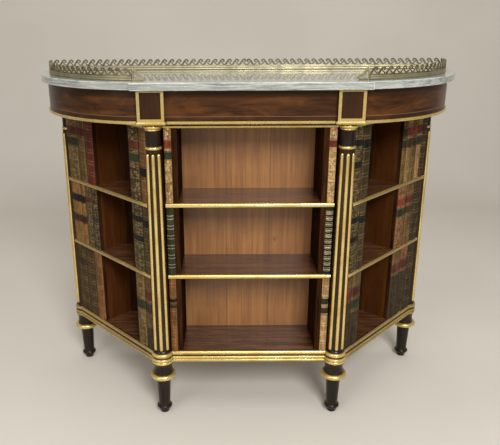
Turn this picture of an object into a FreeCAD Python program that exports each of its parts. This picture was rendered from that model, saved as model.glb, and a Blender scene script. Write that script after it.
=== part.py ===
import FreeCAD, Part
import math
import os

os.makedirs("parts", exist_ok=True)

# An open side cabinet with a breakfront, bowed marble ends, canted sides and false book spines.
# Millimetres, +Z up, front towards -Y. The origin is on the floor under the middle of the marble.
# "Along" and "outward" are measured on a canted side: from the front column's axis to the back
# column's axis, and square to that line, away from the cabinet.

# Cuts run past the solids that they cut by this much, and notched boards clear turned columns.
overrun = 20.0
column_clearance = 0.3

# Marble slab
marble_width = 1134.0
marble_depth = 373.0
marble_thickness = 18.0
marble_arris = 1.5
breakfront_width = 554.0
bow_front_inset = 7.0
bow_axis_inset = 8.0

# Heights, stacked from the floor
leg_height = 157.0
base_height = 32.0
lower_tier_height = 212.0
middle_tier_height = 181.0
upper_tier_height = 187.0
shelf_thickness = 11.0
carcass_top_thickness = 11.0
frieze_height = 80.0

# Frieze
frieze_thickness = 18.0
frieze_overhang = 17.0
panel_front_overhang = 26.0
rear_overhang = 14.0
block_width = 63.0
block_side_overhang = 13.0
block_front_overhang = 15.0
soffit_thickness = 10.0
sub_top_thickness = 12.0
bead_height = 7.0
bead_projection = 4.5
bead_bevel = 2.0
frame_bar = 7.0
frame_top_bar = 5.0
frame_projection = 2.5

# Columns, in plan and turned
column_inset = 45.0
back_column_inset = 61.0
back_column_gap = 26.0
foot_radius = 24.5
foot_height = 4.0
foot_taper_height = 4.0
shaft_bottom_radius = 23.0
shaft_top_radius = 19.5
shaft_swell = 0.3
neck_radius = 18.3
neck_height = 39.0
neck_ring_radius = 20.8
neck_ring_height = 7.0
neck_ring_bevel = 2.0
capital_radius = 24.5
capital_height = 12.0
abacus_radius = 22.0
abacus_height = 3.5

# Gilt reeds on the open face of each shaft: flat-backed rods that taper with the column, spread in degrees
reed_count = 3
reed_spread = 38.0
reed_facet_count = 5
reed_bottom_radius = 4.6
reed_top_radius = 4.2
reed_sunk_share = 0.35
reed_top_gap = 10.0
reed_bottom_gap = 1.0

# The swell of a capital as shares of its projection from the neck and of its height.
capital_shares = ((0.2, 0.0), (0.8, 0.33), (1.0, 0.7))

# Boards of the lower carcass
board_offset = 3.0
cant_board_offset = 16.5
cant_base_offset = 18.5
strip_depth = 5.0
strip_bevel = 1.5
partition_thickness = 13.0
centre_depth = 141.0
centre_back_thickness = 10.0
centre_plank_count = 3
niche_wall_thickness = 10.0
niche_wall_lap = 10.0
niche_back_inset = 73.0
niche_back_thickness = 10.0
rear_board_thickness = 12.0
rear_plank_count = 8
side_board_front = 17.0

# Strips over the openings
cornice_strip_height = 6.5

# False book spines. The canted panels end this reach from a column's axis, scribed to the column.
spine_crest_offset = 6.5
spine_valley_offset = 2.0
spine_board_thickness = 11.0
centre_panel_width = 18.6
inner_panel_width = 74.0
outer_panel_width = 139.0
panel_reach = 9.0

# How each tier's spines share a panel's width, bottom tier first, from the front of the cabinet.
spine_middle_share = 0.5
centre_shares = ((1.0,), (1.0,), (1.0,))
inner_left_shares = ((0.45, 0.55), (0.38, 0.62), (0.4, 0.6))
inner_right_shares = ((0.4, 0.6), (0.58, 0.42), (0.5, 0.5))
outer_left_shares = ((0.3, 0.32, 0.38), (0.22, 0.24, 0.16, 0.38), (0.3, 0.27, 0.43))
outer_right_shares = ((0.36, 0.32, 0.32), (0.36, 0.32, 0.32), (0.17, 0.21, 0.2, 0.2, 0.22))

# Base bands
ear_radius = 29.5
upper_band_height = 11.0
lower_band_height = 16.5
band_bevel = 3.0

# Legs
leg_collar_radius = 27.0
leg_waist_radius = 24.0
leg_shoulder_radius = 25.5
leg_collar_height = 33.0
leg_ring_radius = 34.5
leg_ring_height = 13.0
leg_top_radius = 19.0
leg_bottom_radius = 15.4
toe_ring_radius = 20.5
toe_ring_height = 9.0
toe_ring_bevel = 3.0
toe_height = 13.0
toe_tip_radius = 12.5

# A leg ring's round as shares of its projection from the leg and of its height, and the collar's waist.
leg_ring_shares = ((0.55, 0.0), (0.93, 0.2), (1.0, 0.5), (0.93, 0.8), (0.55, 1.0))
collar_waist_share = 0.6

# Brass gallery on the marble
gallery_side_inset = 20.0
gallery_front_inset = 38.0
gallery_back_inset = 8.0
gallery_rail_height = 10.0
gallery_rail_thickness = 4.5
scroll_band_height = 3.0
scroll_band_thickness = 2.6
wave_height = 18.0
wave_thickness = 1.8
wave_pitch = 20.0
wave_sunk = 1.0
terminal_length = 32.0
terminal_head = 7.0
terminal_tip_radius = 5.0
terminal_eye_radius = 2.0
rail_lap_angle = 1.0

# The outline of one wave of the scroll, as shares of its pitch and its height.
wave_shares = (
    (-0.1, 0.0), (0.2, 0.4), (0.44, 0.8), (0.66, 1.0), (0.9, 0.92), (0.99, 0.72), (0.88, 0.53),
    (0.68, 0.56), (0.84, 0.7), (0.8, 0.82), (0.62, 0.82), (0.52, 0.58), (1.04, 0.08), (0.97, 0.03),
    (0.87, 0.03), (0.43, 0.5), (0.12, 0.0),
)

# Levels
floor_z = leg_height + base_height
lower_shelf_z = floor_z + lower_tier_height + shelf_thickness
upper_shelf_z = lower_shelf_z + middle_tier_height + shelf_thickness
ceiling_z = upper_shelf_z + upper_tier_height
frieze_z = ceiling_z + carcass_top_thickness
marble_z = frieze_z + frieze_height
marble_top_z = marble_z + marble_thickness
tiers = (
    (floor_z, lower_shelf_z - shelf_thickness),
    (lower_shelf_z, upper_shelf_z - shelf_thickness),
    (upper_shelf_z, ceiling_z),
)

# Places in plan
marble_front_y = -marble_depth / 2
marble_back_y = marble_depth / 2
rear_y = marble_back_y - rear_overhang
bow_radius = marble_depth - bow_front_inset - bow_axis_inset
bow_x = marble_width / 2 - bow_radius
bow_y = marble_back_y - bow_axis_inset
front_axis_x = breakfront_width / 2 - block_side_overhang - block_width / 2
front_axis_y = marble_front_y + column_inset
back_axis_x = marble_width / 2 - back_column_inset
back_axis_y = rear_y - back_column_gap
cant_length = math.hypot(back_axis_x - front_axis_x, back_axis_y - front_axis_y)
along_x = (back_axis_x - front_axis_x) / cant_length
along_y = (back_axis_y - front_axis_y) / cant_length
strip_offset = board_offset + strip_depth
block_inner_x = front_axis_x - block_width / 2
block_outer_x = front_axis_x + block_width / 2
block_front_y = marble_front_y + block_front_overhang
panel_front_y = marble_front_y + panel_front_overhang
panel_back_y = panel_front_y + frieze_thickness
frieze_radius = bow_radius - frieze_overhang
panel_gap = foot_radius + column_clearance
centre_panel_x = front_axis_x - panel_gap - centre_panel_width
partition_x = centre_panel_x - partition_thickness
centre_back_y = front_axis_y - board_offset + centre_depth
rear_board_y = rear_y - rear_board_thickness
niche_back_y = rear_board_y - niche_back_inset
outer_panel_end = cant_length - panel_reach
niche_along = outer_panel_end - outer_panel_width
spine_back_offset = spine_valley_offset - spine_board_thickness
cant_step = cant_board_offset - board_offset
cant_back_offset = spine_back_offset + cant_step

sides = (("left", -1), ("right", 1))
column_places = (
    ("front_left", -front_axis_x, front_axis_y),
    ("front_right", front_axis_x, front_axis_y),
    ("back_left", -back_axis_x, back_axis_y),
    ("back_right", back_axis_x, back_axis_y),
)
column_facing = {"front_left": -90, "front_right": -90, "back_left": 180, "back_right": 0}


# Small helpers

def at(x, y, z=0.0):
    return FreeCAD.Vector(x, y, z)


def up(height):
    return FreeCAD.Vector(0, 0, height)


def on_side(shape, sign):
    """The right-hand shape, or its mirror image for the left-hand side."""
    if sign > 0:
        return shape
    return shape.mirror(at(0, 0), at(1, 0))


def cant(along, outward):
    """A plan point by its place along the right-hand canted side and outward from it."""
    x = front_axis_x + along * along_x + outward * along_y
    y = front_axis_y + along * along_y - outward * along_x
    return (x, y)


def outline(to_vector, start, *steps):
    """A closed face. A step is a point, or a pair of points: an arc's middle and its end."""
    edges = []
    here = start
    for step in steps + (start,):
        if isinstance(step[0], tuple):
            middle, end = step
            arc = Part.Arc(to_vector(*here), to_vector(*middle), to_vector(*end))
            edges.append(arc.toShape())
        else:
            end = step
            edges.append(Part.LineSegment(to_vector(*here), to_vector(*end)).toShape())
        here = end
    return Part.Face(Part.Wire(edges))


def slab(bottom_z, top_z, start, *steps):
    """An upright prism on a plan outline."""
    face = outline(lambda x, y: at(x, y, bottom_z), start, *steps)
    return face.extrude(up(top_z - bottom_z))


def box(x0, x1, y0, y1, z0, z1):
    return slab(z0, z1, (x0, y0), (x1, y0), (x1, y1), (x0, y1))


def disc(x, y, radius, z0, z1):
    return Part.makeCylinder(radius, z1 - z0, at(x, y, z0))


def turned(x, y, start, *steps):
    """A solid turned about the upright axis at x, y, from a profile of radius and height."""
    face = outline(lambda radius, z: at(radius, 0, z), start, *steps)
    solid = face.revolve(at(0, 0), up(1), 360)
    solid.translate(at(x, y))
    return solid


def bevelled_section(inner, outer, bottom_z, top_z, bevel):
    """Start and steps of a strip's section: flat behind, with both front corners bevelled."""
    return (
        (inner, bottom_z),
        (outer - bevel, bottom_z),
        (outer, bottom_z + bevel),
        (outer, top_z - bevel),
        (outer - bevel, top_z),
        (inner, top_z),
    )


def strip_between(p0, p1, section):
    """A straight strip from p0 to p1, with its section's depth on the right of that direction."""
    length = math.hypot(p1[0] - p0[0], p1[1] - p0[1])
    ux = (p1[0] - p0[0]) / length
    uy = (p1[1] - p0[1]) / length
    face = outline(lambda n, z: at(p0[0] + n * uy, p0[1] - n * ux, z), *section)
    return face.extrude(at(ux * length, uy * length))


def save(name, *solids):
    """Writes one node, as one solid or as a group of separate solids."""
    shape = solids[0] if len(solids) == 1 else Part.makeCompound(list(solids))
    for solid in shape.Solids:
        if not solid.isValid():
            raise ValueError(name + " has a solid that isn't valid")
    shape.exportStep("parts/" + name + ".step")


# Marble slab

def marble_top():
    """The slab: a straight breakfront, a bowed front corner to each end, and chamfered arrises."""
    half = marble_width / 2
    step_x = breakfront_width / 2
    turn = math.asin((step_x - bow_x) / bow_radius)
    middle = (turn + math.pi / 2) / 2
    bow_start_y = bow_y - bow_radius * math.cos(turn)
    middle_x = bow_x + bow_radius * math.sin(middle)
    middle_y = bow_y - bow_radius * math.cos(middle)
    stone = slab(
        marble_z, marble_top_z,
        (step_x, marble_front_y),
        (step_x, bow_start_y),
        ((middle_x, middle_y), (half, bow_y)),
        (half, marble_back_y),
        (-half, marble_back_y),
        (-half, bow_y),
        ((-middle_x, middle_y), (-step_x, bow_start_y)),
        (-step_x, marble_front_y),
    )
    level = [edge for edge in stone.Edges if edge.BoundBox.ZLength < marble_arris]
    return stone.makeChamfer(marble_arris, level)


# Brass gallery

gallery_radius = bow_radius - gallery_side_inset
gallery_y = marble_back_y - gallery_back_inset
gallery_axis_y = bow_y - bow_radius + gallery_front_inset + gallery_radius
gallery_start = math.asin((breakfront_width / 2 - bow_x) / gallery_radius)
gallery_end = math.acos((gallery_axis_y - gallery_y) / gallery_radius)
gallery_corner_x = bow_x + gallery_radius * math.sin(gallery_end)
rail_top_z = marble_top_z + gallery_rail_height
scroll_top_z = rail_top_z + scroll_band_height


def gallery_point(angle):
    """A plan point on the right-hand bow of the gallery, by its angle from the front."""
    return (bow_x + gallery_radius * math.sin(angle), gallery_axis_y - gallery_radius * math.cos(angle))


def rail_section(offset):
    """Start and steps of the rail's upright section about a line at that offset."""
    inner = offset - gallery_rail_thickness / 2
    outer = offset + gallery_rail_thickness / 2
    return ((inner, marble_top_z), (outer, marble_top_z), (outer, rail_top_z), (inner, rail_top_z))


def gallery_terminal():
    """The swept end of the right-hand rail: full height where the scroll starts, falling to a volute."""
    x, y = gallery_point(gallery_start)
    ux = -math.cos(gallery_start)
    uy = -math.sin(gallery_start)
    half = gallery_rail_thickness / 2
    height = gallery_rail_height + scroll_band_height + wave_height - wave_sunk
    tip = 2 * terminal_tip_radius
    neck = (terminal_length + terminal_head) / 2

    def plate(u, w):
        return at(x + u * ux - half * uy, y + u * uy + half * ux, marble_top_z + w)

    face = outline(
        plate,
        (0, 0),
        (terminal_length - terminal_tip_radius, 0),
        ((terminal_length, terminal_tip_radius), (terminal_length - terminal_tip_radius, tip)),
        ((neck - terminal_tip_radius, tip + terminal_tip_radius / 2), (terminal_head, height)),
        (0, height),
    )
    across = at(uy * 2 * half, -ux * 2 * half)
    eye_axis = plate(terminal_length - terminal_tip_radius, terminal_tip_radius)
    eye = Part.makeCylinder(terminal_eye_radius, across.Length, eye_axis, across)
    return face.extrude(across).cut(eye)


def gallery_rail_side():
    """The right-hand curved rail with its terminal, up to the back rail's face."""
    section = outline(lambda n, z: at(n, 0, z), *rail_section(gallery_radius))
    rail = section.revolve(at(0, 0), up(1), math.degrees(gallery_end - gallery_start) + rail_lap_angle)
    rail.rotate(at(0, 0), up(1), math.degrees(gallery_start) - 90)
    rail.translate(at(bow_x, gallery_axis_y))
    behind = box(
        0, marble_width, gallery_y - gallery_rail_thickness / 2, marble_depth,
        marble_z, rail_top_z + overrun,
    )
    return rail.cut(behind).fuse(gallery_terminal()).removeSplitter()


def gallery_rail_back():
    end = gallery_corner_x + gallery_rail_thickness / 2
    return strip_between((-end, gallery_y), (end, gallery_y), rail_section(0.0))


def wave(start, direction, pitch):
    """One curling wave of the pierced scroll, standing on the scroll's band."""
    dx, dy = direction
    half = wave_thickness / 2
    foot_z = scroll_top_z - wave_sunk

    def plate(u, w):
        x = start[0] + u * pitch * dx - half * dy
        y = start[1] + u * pitch * dy + half * dx
        return at(x, y, foot_z + w * wave_height)

    face = outline(plate, *wave_shares)
    return face.extrude(at(2 * half * dy, -2 * half * dx))


def gallery_scroll_side():
    """The right-hand scroll: a faceted band, one facet to a wave, with the waves running to the back."""
    count = round(gallery_radius * (gallery_end - gallery_start) / wave_pitch)
    turn = (gallery_end - gallery_start) / count
    points = [gallery_point(gallery_start + i * turn) for i in range(count + 1)]
    half = scroll_band_thickness / 2
    outer = [(bow_x + (p[0] - bow_x) * (1 + half / gallery_radius),
              gallery_axis_y + (p[1] - gallery_axis_y) * (1 + half / gallery_radius)) for p in points]
    inner = [(bow_x + (p[0] - bow_x) * (1 - half / gallery_radius),
              gallery_axis_y + (p[1] - gallery_axis_y) * (1 - half / gallery_radius)) for p in points]
    ring = outer + inner[::-1]
    band = slab(rail_top_z, scroll_top_z, ring[0], *ring[1:])
    waves = []
    for p, q in zip(points[:-1], points[1:]):
        pitch = math.hypot(q[0] - p[0], q[1] - p[1])
        waves.append(wave(p, ((q[0] - p[0]) / pitch, (q[1] - p[1]) / pitch), pitch))
    behind = box(
        0, marble_width, gallery_y - scroll_band_thickness / 2, marble_depth,
        marble_z, scroll_top_z + wave_height + overrun,
    )
    return band.multiFuse(waves).cut([behind, gallery_terminal()])


def gallery_scroll_back():
    """The straight scroll along the back, whose waves run from both corners to the middle."""
    end = gallery_corner_x + scroll_band_thickness / 2
    half = scroll_band_thickness / 2
    band = box(-end, end, gallery_y - half, gallery_y + half, rail_top_z, scroll_top_z)
    count = round(gallery_corner_x / wave_pitch)
    pitch = gallery_corner_x / count
    waves = []
    for i in range(count):
        for name, sign in sides:
            start = (sign * (gallery_corner_x - i * pitch), gallery_y)
            waves.append(wave(start, (-sign, 0), pitch))
    return band.multiFuse(waves)


# Frieze box

def frieze_centre():
    return box(-block_inner_x, block_inner_x, panel_front_y, panel_back_y, frieze_z, marble_z)


def bow_ring(inner_radius, outer_radius, bottom_z, top_z):
    """A full ring about the right-hand bow's axis."""
    ring = disc(bow_x, bow_y, outer_radius, bottom_z, top_z)
    return ring.cut(disc(bow_x, bow_y, inner_radius, bottom_z - overrun, top_z + overrun))


def bow_reach(bottom_z, top_z):
    """The part of the plan that holds the right-hand end panel: outside the block, in front of the rear."""
    return box(block_outer_x, marble_width, -marble_depth, rear_y, bottom_z - overrun, top_z + overrun)


def frieze_end():
    ring = bow_ring(frieze_radius - frieze_thickness, frieze_radius, frieze_z, marble_z)
    return ring.common(bow_reach(frieze_z, marble_z))


def frieze_block():
    return box(block_inner_x, block_outer_x, block_front_y, panel_back_y, frieze_z, marble_z)


def block_frame():
    """The gilt frame on a block's face and the bead that wraps its foot."""
    bead_top = frieze_z + bead_height
    back = block_front_y
    front = back - frame_projection
    frame = box(block_inner_x, block_outer_x, front, back, bead_top, marble_z)
    window = box(
        block_inner_x + frame_bar, block_outer_x - frame_bar, front - overrun, back + overrun,
        bead_top + frame_bar, marble_z - frame_top_bar,
    )
    section = bevelled_section(0.0, bead_projection, frieze_z, bead_top, bead_bevel)
    inner_corner = (block_inner_x, block_front_y)
    outer_corner = (block_outer_x, block_front_y)
    pieces = [
        strip_between(inner_corner, outer_corner, section),
        strip_between((block_inner_x, panel_front_y), inner_corner, section),
        strip_between(outer_corner, (block_outer_x, panel_back_y), section),
        turned(*inner_corner, *section),
        turned(*outer_corner, *section),
    ]
    bead = pieces[0].multiFuse(pieces[1:]).removeSplitter()
    return [frame.cut(window), bead.cut([frieze_block(), frieze_end()])]


def frieze_bead_centre():
    section = bevelled_section(0.0, bead_projection, frieze_z, frieze_z + bead_height, bead_bevel)
    reach = block_inner_x - bead_projection
    return strip_between((-reach, panel_front_y), (reach, panel_front_y), section)


def frieze_bead_end():
    section = bevelled_section(
        frieze_radius, frieze_radius + bead_projection, frieze_z, frieze_z + bead_height, bead_bevel
    )
    ring = turned(bow_x, bow_y, *section)
    reach = bow_reach(frieze_z, marble_z)
    reach.translate(at(bead_projection, 0))
    return ring.common(reach)


def frieze_rear_rail():
    reach = frieze_inner_reach()
    return box(-reach, reach, rear_y - frieze_thickness, rear_y, frieze_z, marble_z)


def frieze_inner_reach():
    """Half the clear width between the end panels at the rear rail's front face."""
    run = bow_y - rear_y + frieze_thickness
    return bow_x + math.sqrt((frieze_radius - frieze_thickness) ** 2 - run ** 2)


def frieze_inside(bottom_z, top_z):
    """A board that fills the plan inside the frieze: behind the front, between the ends, before the rear."""
    inner = frieze_radius - frieze_thickness
    back_y = rear_y - frieze_thickness
    middle = box(-block_outer_x, block_outer_x, panel_back_y, back_y, bottom_z, top_z)
    window = box(block_outer_x, marble_width, -marble_depth, back_y, bottom_z - overrun, top_z + overrun)
    end = disc(bow_x, bow_y, inner, bottom_z, top_z).common(window)
    return middle.multiFuse([on_side(end, sign) for name, sign in sides]).removeSplitter()


# Columns and legs

capital_top_z = frieze_z - abacus_height
capital_z = capital_top_z - capital_height
neck_ring_z = capital_z - neck_height - neck_ring_height
shaft_z = floor_z + foot_height + foot_taper_height
reed_z = shaft_z + reed_bottom_gap
reed_top_z = neck_ring_z - reed_top_gap


def shaft_radius(z):
    """The straight taper of the shaft, without its swell."""
    share = (z - shaft_z) / (neck_ring_z - shaft_z)
    return shaft_bottom_radius + (shaft_top_radius - shaft_bottom_radius) * share


def reed_section(radius, z):
    """A reed's outline at one height: a flat back and a front of even facets round an arc."""
    reach = math.acos(reed_sunk_share)
    points = []
    for i in range(reed_facet_count + 1):
        turn = reach * (2 * i / reed_facet_count - 1)
        points.append(at(radius * (math.cos(turn) - reed_sunk_share), radius * math.sin(turn), z))
    return Part.makePolygon(points + points[:1])


def column_reeds(x, y, facing):
    """The gilt reeds on one shaft's open face, each leaning with the taper and flat against it."""
    low = shaft_radius(reed_z)
    high = shaft_radius(reed_top_z)
    length = math.hypot(reed_top_z - reed_z, low - high)
    lean = math.degrees(math.atan2(low - high, reed_top_z - reed_z))
    ends = [reed_section(reed_bottom_radius, 0), reed_section(reed_top_radius, length)]
    rod = Part.makeLoft(ends, True, True)
    rod.rotate(at(0, 0), at(0, 1), -lean)
    rod.translate(at(low + shaft_swell, 0, reed_z))
    reeds = []
    for i in range(reed_count):
        reed = rod.copy()
        reed.rotate(at(0, 0), up(1), facing + (i - (reed_count - 1) / 2) * reed_spread)
        reed.translate(at(x, y))
        reeds.append(reed)
    return reeds


def column(x, y):
    """The dark turned pieces of a column: foot with swelling shaft, neck and abacus."""
    waist = (shaft_bottom_radius + shaft_top_radius) / 2 + shaft_swell
    shaft = turned(
        x, y,
        (0, floor_z),
        (foot_radius, floor_z),
        (foot_radius, floor_z + foot_height),
        (shaft_bottom_radius, shaft_z),
        ((waist, (shaft_z + neck_ring_z) / 2), (shaft_top_radius, neck_ring_z)),
        (0, neck_ring_z),
    )
    neck = disc(x, y, neck_radius, neck_ring_z + neck_ring_height, capital_z)
    return [shaft, neck, disc(x, y, abacus_radius, capital_top_z, frieze_z)]


def column_room(x, y):
    """The space that boards leave round a column: its foot, the taper of its shaft and its capital."""
    bottom_reach = shaft_bottom_radius + shaft_swell + column_clearance
    top_reach = neck_ring_radius + column_clearance
    return turned(
        x, y,
        (0, floor_z - overrun),
        (panel_gap, floor_z - overrun),
        (panel_gap, shaft_z),
        (bottom_reach, shaft_z),
        (top_reach, capital_z),
        (capital_radius + column_clearance, capital_z),
        (capital_radius + column_clearance, frieze_z + overrun),
        (0, frieze_z + overrun),
    )


def neck_ring(x, y):
    top_z = neck_ring_z + neck_ring_height
    return turned(x, y, *bevelled_section(0, neck_ring_radius, neck_ring_z, top_z, neck_ring_bevel))


def moulded(x, y, inner, outer, bottom_z, top_z, rim_shares):
    """A solid turned piece whose rim goes through shares of its projection and of its height."""
    rim = [(inner + (outer - inner) * n, bottom_z + (top_z - bottom_z) * h) for n, h in rim_shares]
    return turned(x, y, (0, bottom_z), *rim, (0, top_z))


def capital(x, y):
    """The gilt cushion under the abacus, swelling from the neck to its full width."""
    rim_shares = capital_shares + ((1.0, 1.0),)
    return moulded(x, y, neck_radius, capital_radius, capital_z, capital_top_z, rim_shares)


leg_ring_top_z = leg_height - leg_collar_height
leg_ring_z = leg_ring_top_z - leg_ring_height
toe_ring_z = toe_height + toe_ring_height


def leg(x, y):
    """The dark turned pieces of a leg: waisted collar above the gilt ring, taper, toe ring and toe below."""
    waist_z = leg_height - leg_collar_height * (1 - collar_waist_share)
    collar = turned(
        x, y,
        (0, leg_height),
        (leg_collar_radius, leg_height),
        (leg_waist_radius, waist_z),
        (leg_shoulder_radius, leg_ring_top_z),
        (0, leg_ring_top_z),
    )
    shank = turned(
        x, y,
        (0, leg_ring_z),
        (leg_top_radius, leg_ring_z),
        (leg_bottom_radius, toe_ring_z),
        (toe_ring_radius, toe_ring_z - toe_ring_bevel),
        (toe_ring_radius, toe_height + toe_ring_bevel),
        (leg_bottom_radius, toe_height),
        (toe_tip_radius, 0),
        (0, 0),
    )
    return [collar, shank]


def leg_ring(x, y):
    return moulded(x, y, leg_top_radius, leg_ring_radius, leg_ring_z, leg_ring_top_z, leg_ring_shares)


# Base and carcass boards

def carcass_outline(cant_offset, rear_x):
    """Plan of a carcass board: set out from the column axes, with its rear corners at rear_x."""
    front_y = front_axis_y - board_offset
    corner_along = (front_y - front_axis_y + cant_offset * along_x) / along_y
    right = [cant(corner_along, cant_offset), cant(cant_length, cant_offset), (rear_x, rear_y)]
    left = [(-x, y) for x, y in reversed(right)]
    return right + left


def base_plan(bottom_z, top_z):
    """The base's plan with its four round ears, cut off square at the rear plane."""
    points = carcass_outline(cant_base_offset, cant(cant_length, cant_base_offset)[0])
    board = slab(bottom_z, top_z, points[0], *points[1:])
    ears = [disc(x, y, ear_radius - strip_depth, bottom_z, top_z) for name, x, y in column_places]
    return board.multiFuse(ears).removeSplitter().cut(behind_rear())


def behind_rear():
    return box(-marble_width, marble_width, rear_y, marble_depth, 0, marble_z)


def base_board():
    return base_plan(leg_height, floor_z)


def base_band(bottom_z, top_z):
    """A gilt band round the front and sides of the base, swelling round the ears."""
    front = bevelled_section(0.0, strip_offset, bottom_z, top_z, band_bevel)
    side = bevelled_section(0.0, cant_base_offset + strip_depth, bottom_z, top_z, band_bevel)
    round_ear = bevelled_section(ear_radius - strip_depth, ear_radius, bottom_z, top_z, band_bevel)
    back_left, front_left = cant_ends(-1)
    front_right, back_right = cant_ends(1)[::-1]
    pieces = [
        strip_between(back_left, front_left, side),
        strip_between(front_left, front_right, front),
        strip_between(front_right, back_right, side),
    ]
    pieces += [turned(x, y, *round_ear) for name, x, y in column_places]
    band = pieces[0].multiFuse(pieces[1:]).removeSplitter()
    return band.cut(base_plan(bottom_z - overrun, top_z + overrun)).cut(behind_rear())


def cant_ends(sign):
    """The back and front column axes of one side."""
    return [(sign * back_axis_x, back_axis_y), (sign * front_axis_x, front_axis_y)]


def carcass_top():
    """The board over the openings, notched for the columns that pass it."""
    points = carcass_outline(cant_board_offset, back_axis_x - panel_gap)
    board = slab(ceiling_z, frieze_z, points[0], *points[1:])
    return board.cut([column_room(x, y) for name, x, y in column_places])


def front_strip(bottom_z, top_z):
    """A gilt strip across the centre opening, from column to column."""
    section = bevelled_section(board_offset, strip_offset, bottom_z, top_z, strip_bevel)
    reach = front_axis_x - foot_radius
    return strip_between((-reach, front_axis_y), (reach, front_axis_y), section)


def cant_strip(bottom_z, top_z):
    """A gilt strip along the right-hand canted side, scribed to the columns at its ends."""
    outer = cant_board_offset + strip_depth
    section = bevelled_section(cant_board_offset, outer, bottom_z, top_z, strip_bevel)
    return scribed(strip_between(cant(panel_reach, 0), cant(outer_panel_end, 0), section))


def scribed(board):
    """A right-hand board cut to clear the two columns that it runs between."""
    rooms = [column_room(front_axis_x, front_axis_y), column_room(back_axis_x, back_axis_y)]
    return board.cut(rooms)


def three_strips(bottom_z, top_z):
    strips = [front_strip(bottom_z, top_z)]
    strips += [on_side(cant_strip(bottom_z, top_z), sign) for name, sign in sides]
    return strips


# Shelves, partitions and backs

def centre_shelf(top_z):
    front_y = front_axis_y - board_offset
    return box(-partition_x, partition_x, front_y, centre_back_y, top_z - shelf_thickness, top_z)


def niche_wall_end(y):
    """Where the outer niche wall's inner face crosses a line at that y."""
    front = cant(niche_along, cant_back_offset)
    run = (y - front[1]) / along_x
    return (front[0] - run * along_y, y)


def side_shelf(top_z):
    """A shelf of the right-hand niche, behind its front strip and clear of the front column."""
    inner_x = centre_panel_x
    front_y = front_axis_y + side_board_front
    along = (side_board_front + cant_board_offset * along_x) / along_y
    board = slab(
        top_z - shelf_thickness, top_z,
        (inner_x, front_y),
        cant(along, cant_board_offset),
        cant(niche_along, cant_board_offset),
        niche_wall_end(niche_back_y),
        (inner_x, niche_back_y),
    )
    return scribed(board)


def partition():
    front_y = front_axis_y - board_offset
    return box(partition_x, centre_panel_x, front_y, rear_board_y, floor_z, ceiling_z)


def niche_wall():
    """The outer wall of the right-hand niche, square to the canted side, from the spines past the back."""
    front_y = cant(niche_along, cant_back_offset)[1]
    end_y = niche_back_y + niche_back_thickness + niche_wall_lap
    back_offset = cant_back_offset - (end_y - front_y) / along_x
    outer_along = niche_along + niche_wall_thickness
    return slab(
        floor_z, ceiling_z,
        cant(niche_along, cant_back_offset),
        cant(outer_along, cant_back_offset),
        cant(outer_along, back_offset),
        cant(niche_along, back_offset),
    )


def niche_back():
    inner_x = centre_panel_x
    back_y = niche_back_y + niche_back_thickness
    return slab(
        floor_z, ceiling_z,
        (inner_x, niche_back_y),
        niche_wall_end(niche_back_y),
        niche_wall_end(back_y),
        (inner_x, back_y),
    )


def planks(reach, count, front_y, back_y):
    """Upright boards side by side across twice the reach."""
    width = 2 * reach / count
    boards = []
    for i in range(count):
        x = -reach + i * width
        boards.append(box(x, x + width, front_y, back_y, floor_z, ceiling_z))
    return boards


# False book spines

def spine_row(to_plan, start, end, width_shares, tier):
    """A board whose front is a row of rounded book spines."""
    steps = []
    here = start
    for share in width_shares:
        width = (end - start) * share
        middle = to_plan(here + width * spine_middle_share, spine_crest_offset)
        here = here + width
        steps.append((middle, to_plan(here, spine_valley_offset)))
    steps.append(to_plan(here, spine_back_offset))
    steps.append(to_plan(start, spine_back_offset))
    return slab(tier[0], tier[1], to_plan(start, spine_valley_offset), *steps)


def spine_panel(to_plan, start, end, tier_shares):
    """The three rows of one panel, bottom tier first."""
    return [spine_row(to_plan, start, end, shares, tier) for shares, tier in zip(tier_shares, tiers)]


def front_plan(x, outward):
    return (x, front_axis_y - outward)


def cant_plan(along, outward):
    """As a front panel's places, on the canted side and set out to its boards."""
    return cant(along, outward + cant_step)


# The nodes

def build_top():
    save("marble_top", marble_top())
    save("gallery_rail_back", gallery_rail_back())
    save("gallery_scroll_back", gallery_scroll_back())
    rail = gallery_rail_side()
    scroll = gallery_scroll_side()
    for name, sign in sides:
        save("gallery_rail_" + name, on_side(rail, sign))
        save("gallery_scroll_" + name, on_side(scroll, sign))


def build_frieze():
    save("frieze_centre", frieze_centre())
    save("frieze_rear_rail", frieze_rear_rail())
    save("soffit_board", frieze_inside(frieze_z, frieze_z + soffit_thickness))
    save("sub_top", frieze_inside(marble_z - sub_top_thickness, marble_z))
    save("frieze_bead_centre", frieze_bead_centre())
    frames = []
    for name, sign in sides:
        save("frieze_" + name, on_side(frieze_end(), sign))
        save("frieze_bead_" + name, on_side(frieze_bead_end(), sign))
        save("frieze_block_" + name, on_side(frieze_block(), sign))
        frames += [on_side(piece, sign) for piece in block_frame()]
    save("block_frames", *frames)


def build_columns():
    legs = []
    for name, x, y in column_places:
        save("column_" + name, *column(x, y))
        save("column_reeds_" + name, *column_reeds(x, y, column_facing[name]))
        legs += leg(x, y)
    save("legs", *legs)
    save("leg_rings", *[leg_ring(x, y) for name, x, y in column_places])
    save("column_capitals", *[capital(x, y) for name, x, y in column_places])
    save("column_neck_rings", *[neck_ring(x, y) for name, x, y in column_places])


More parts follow.
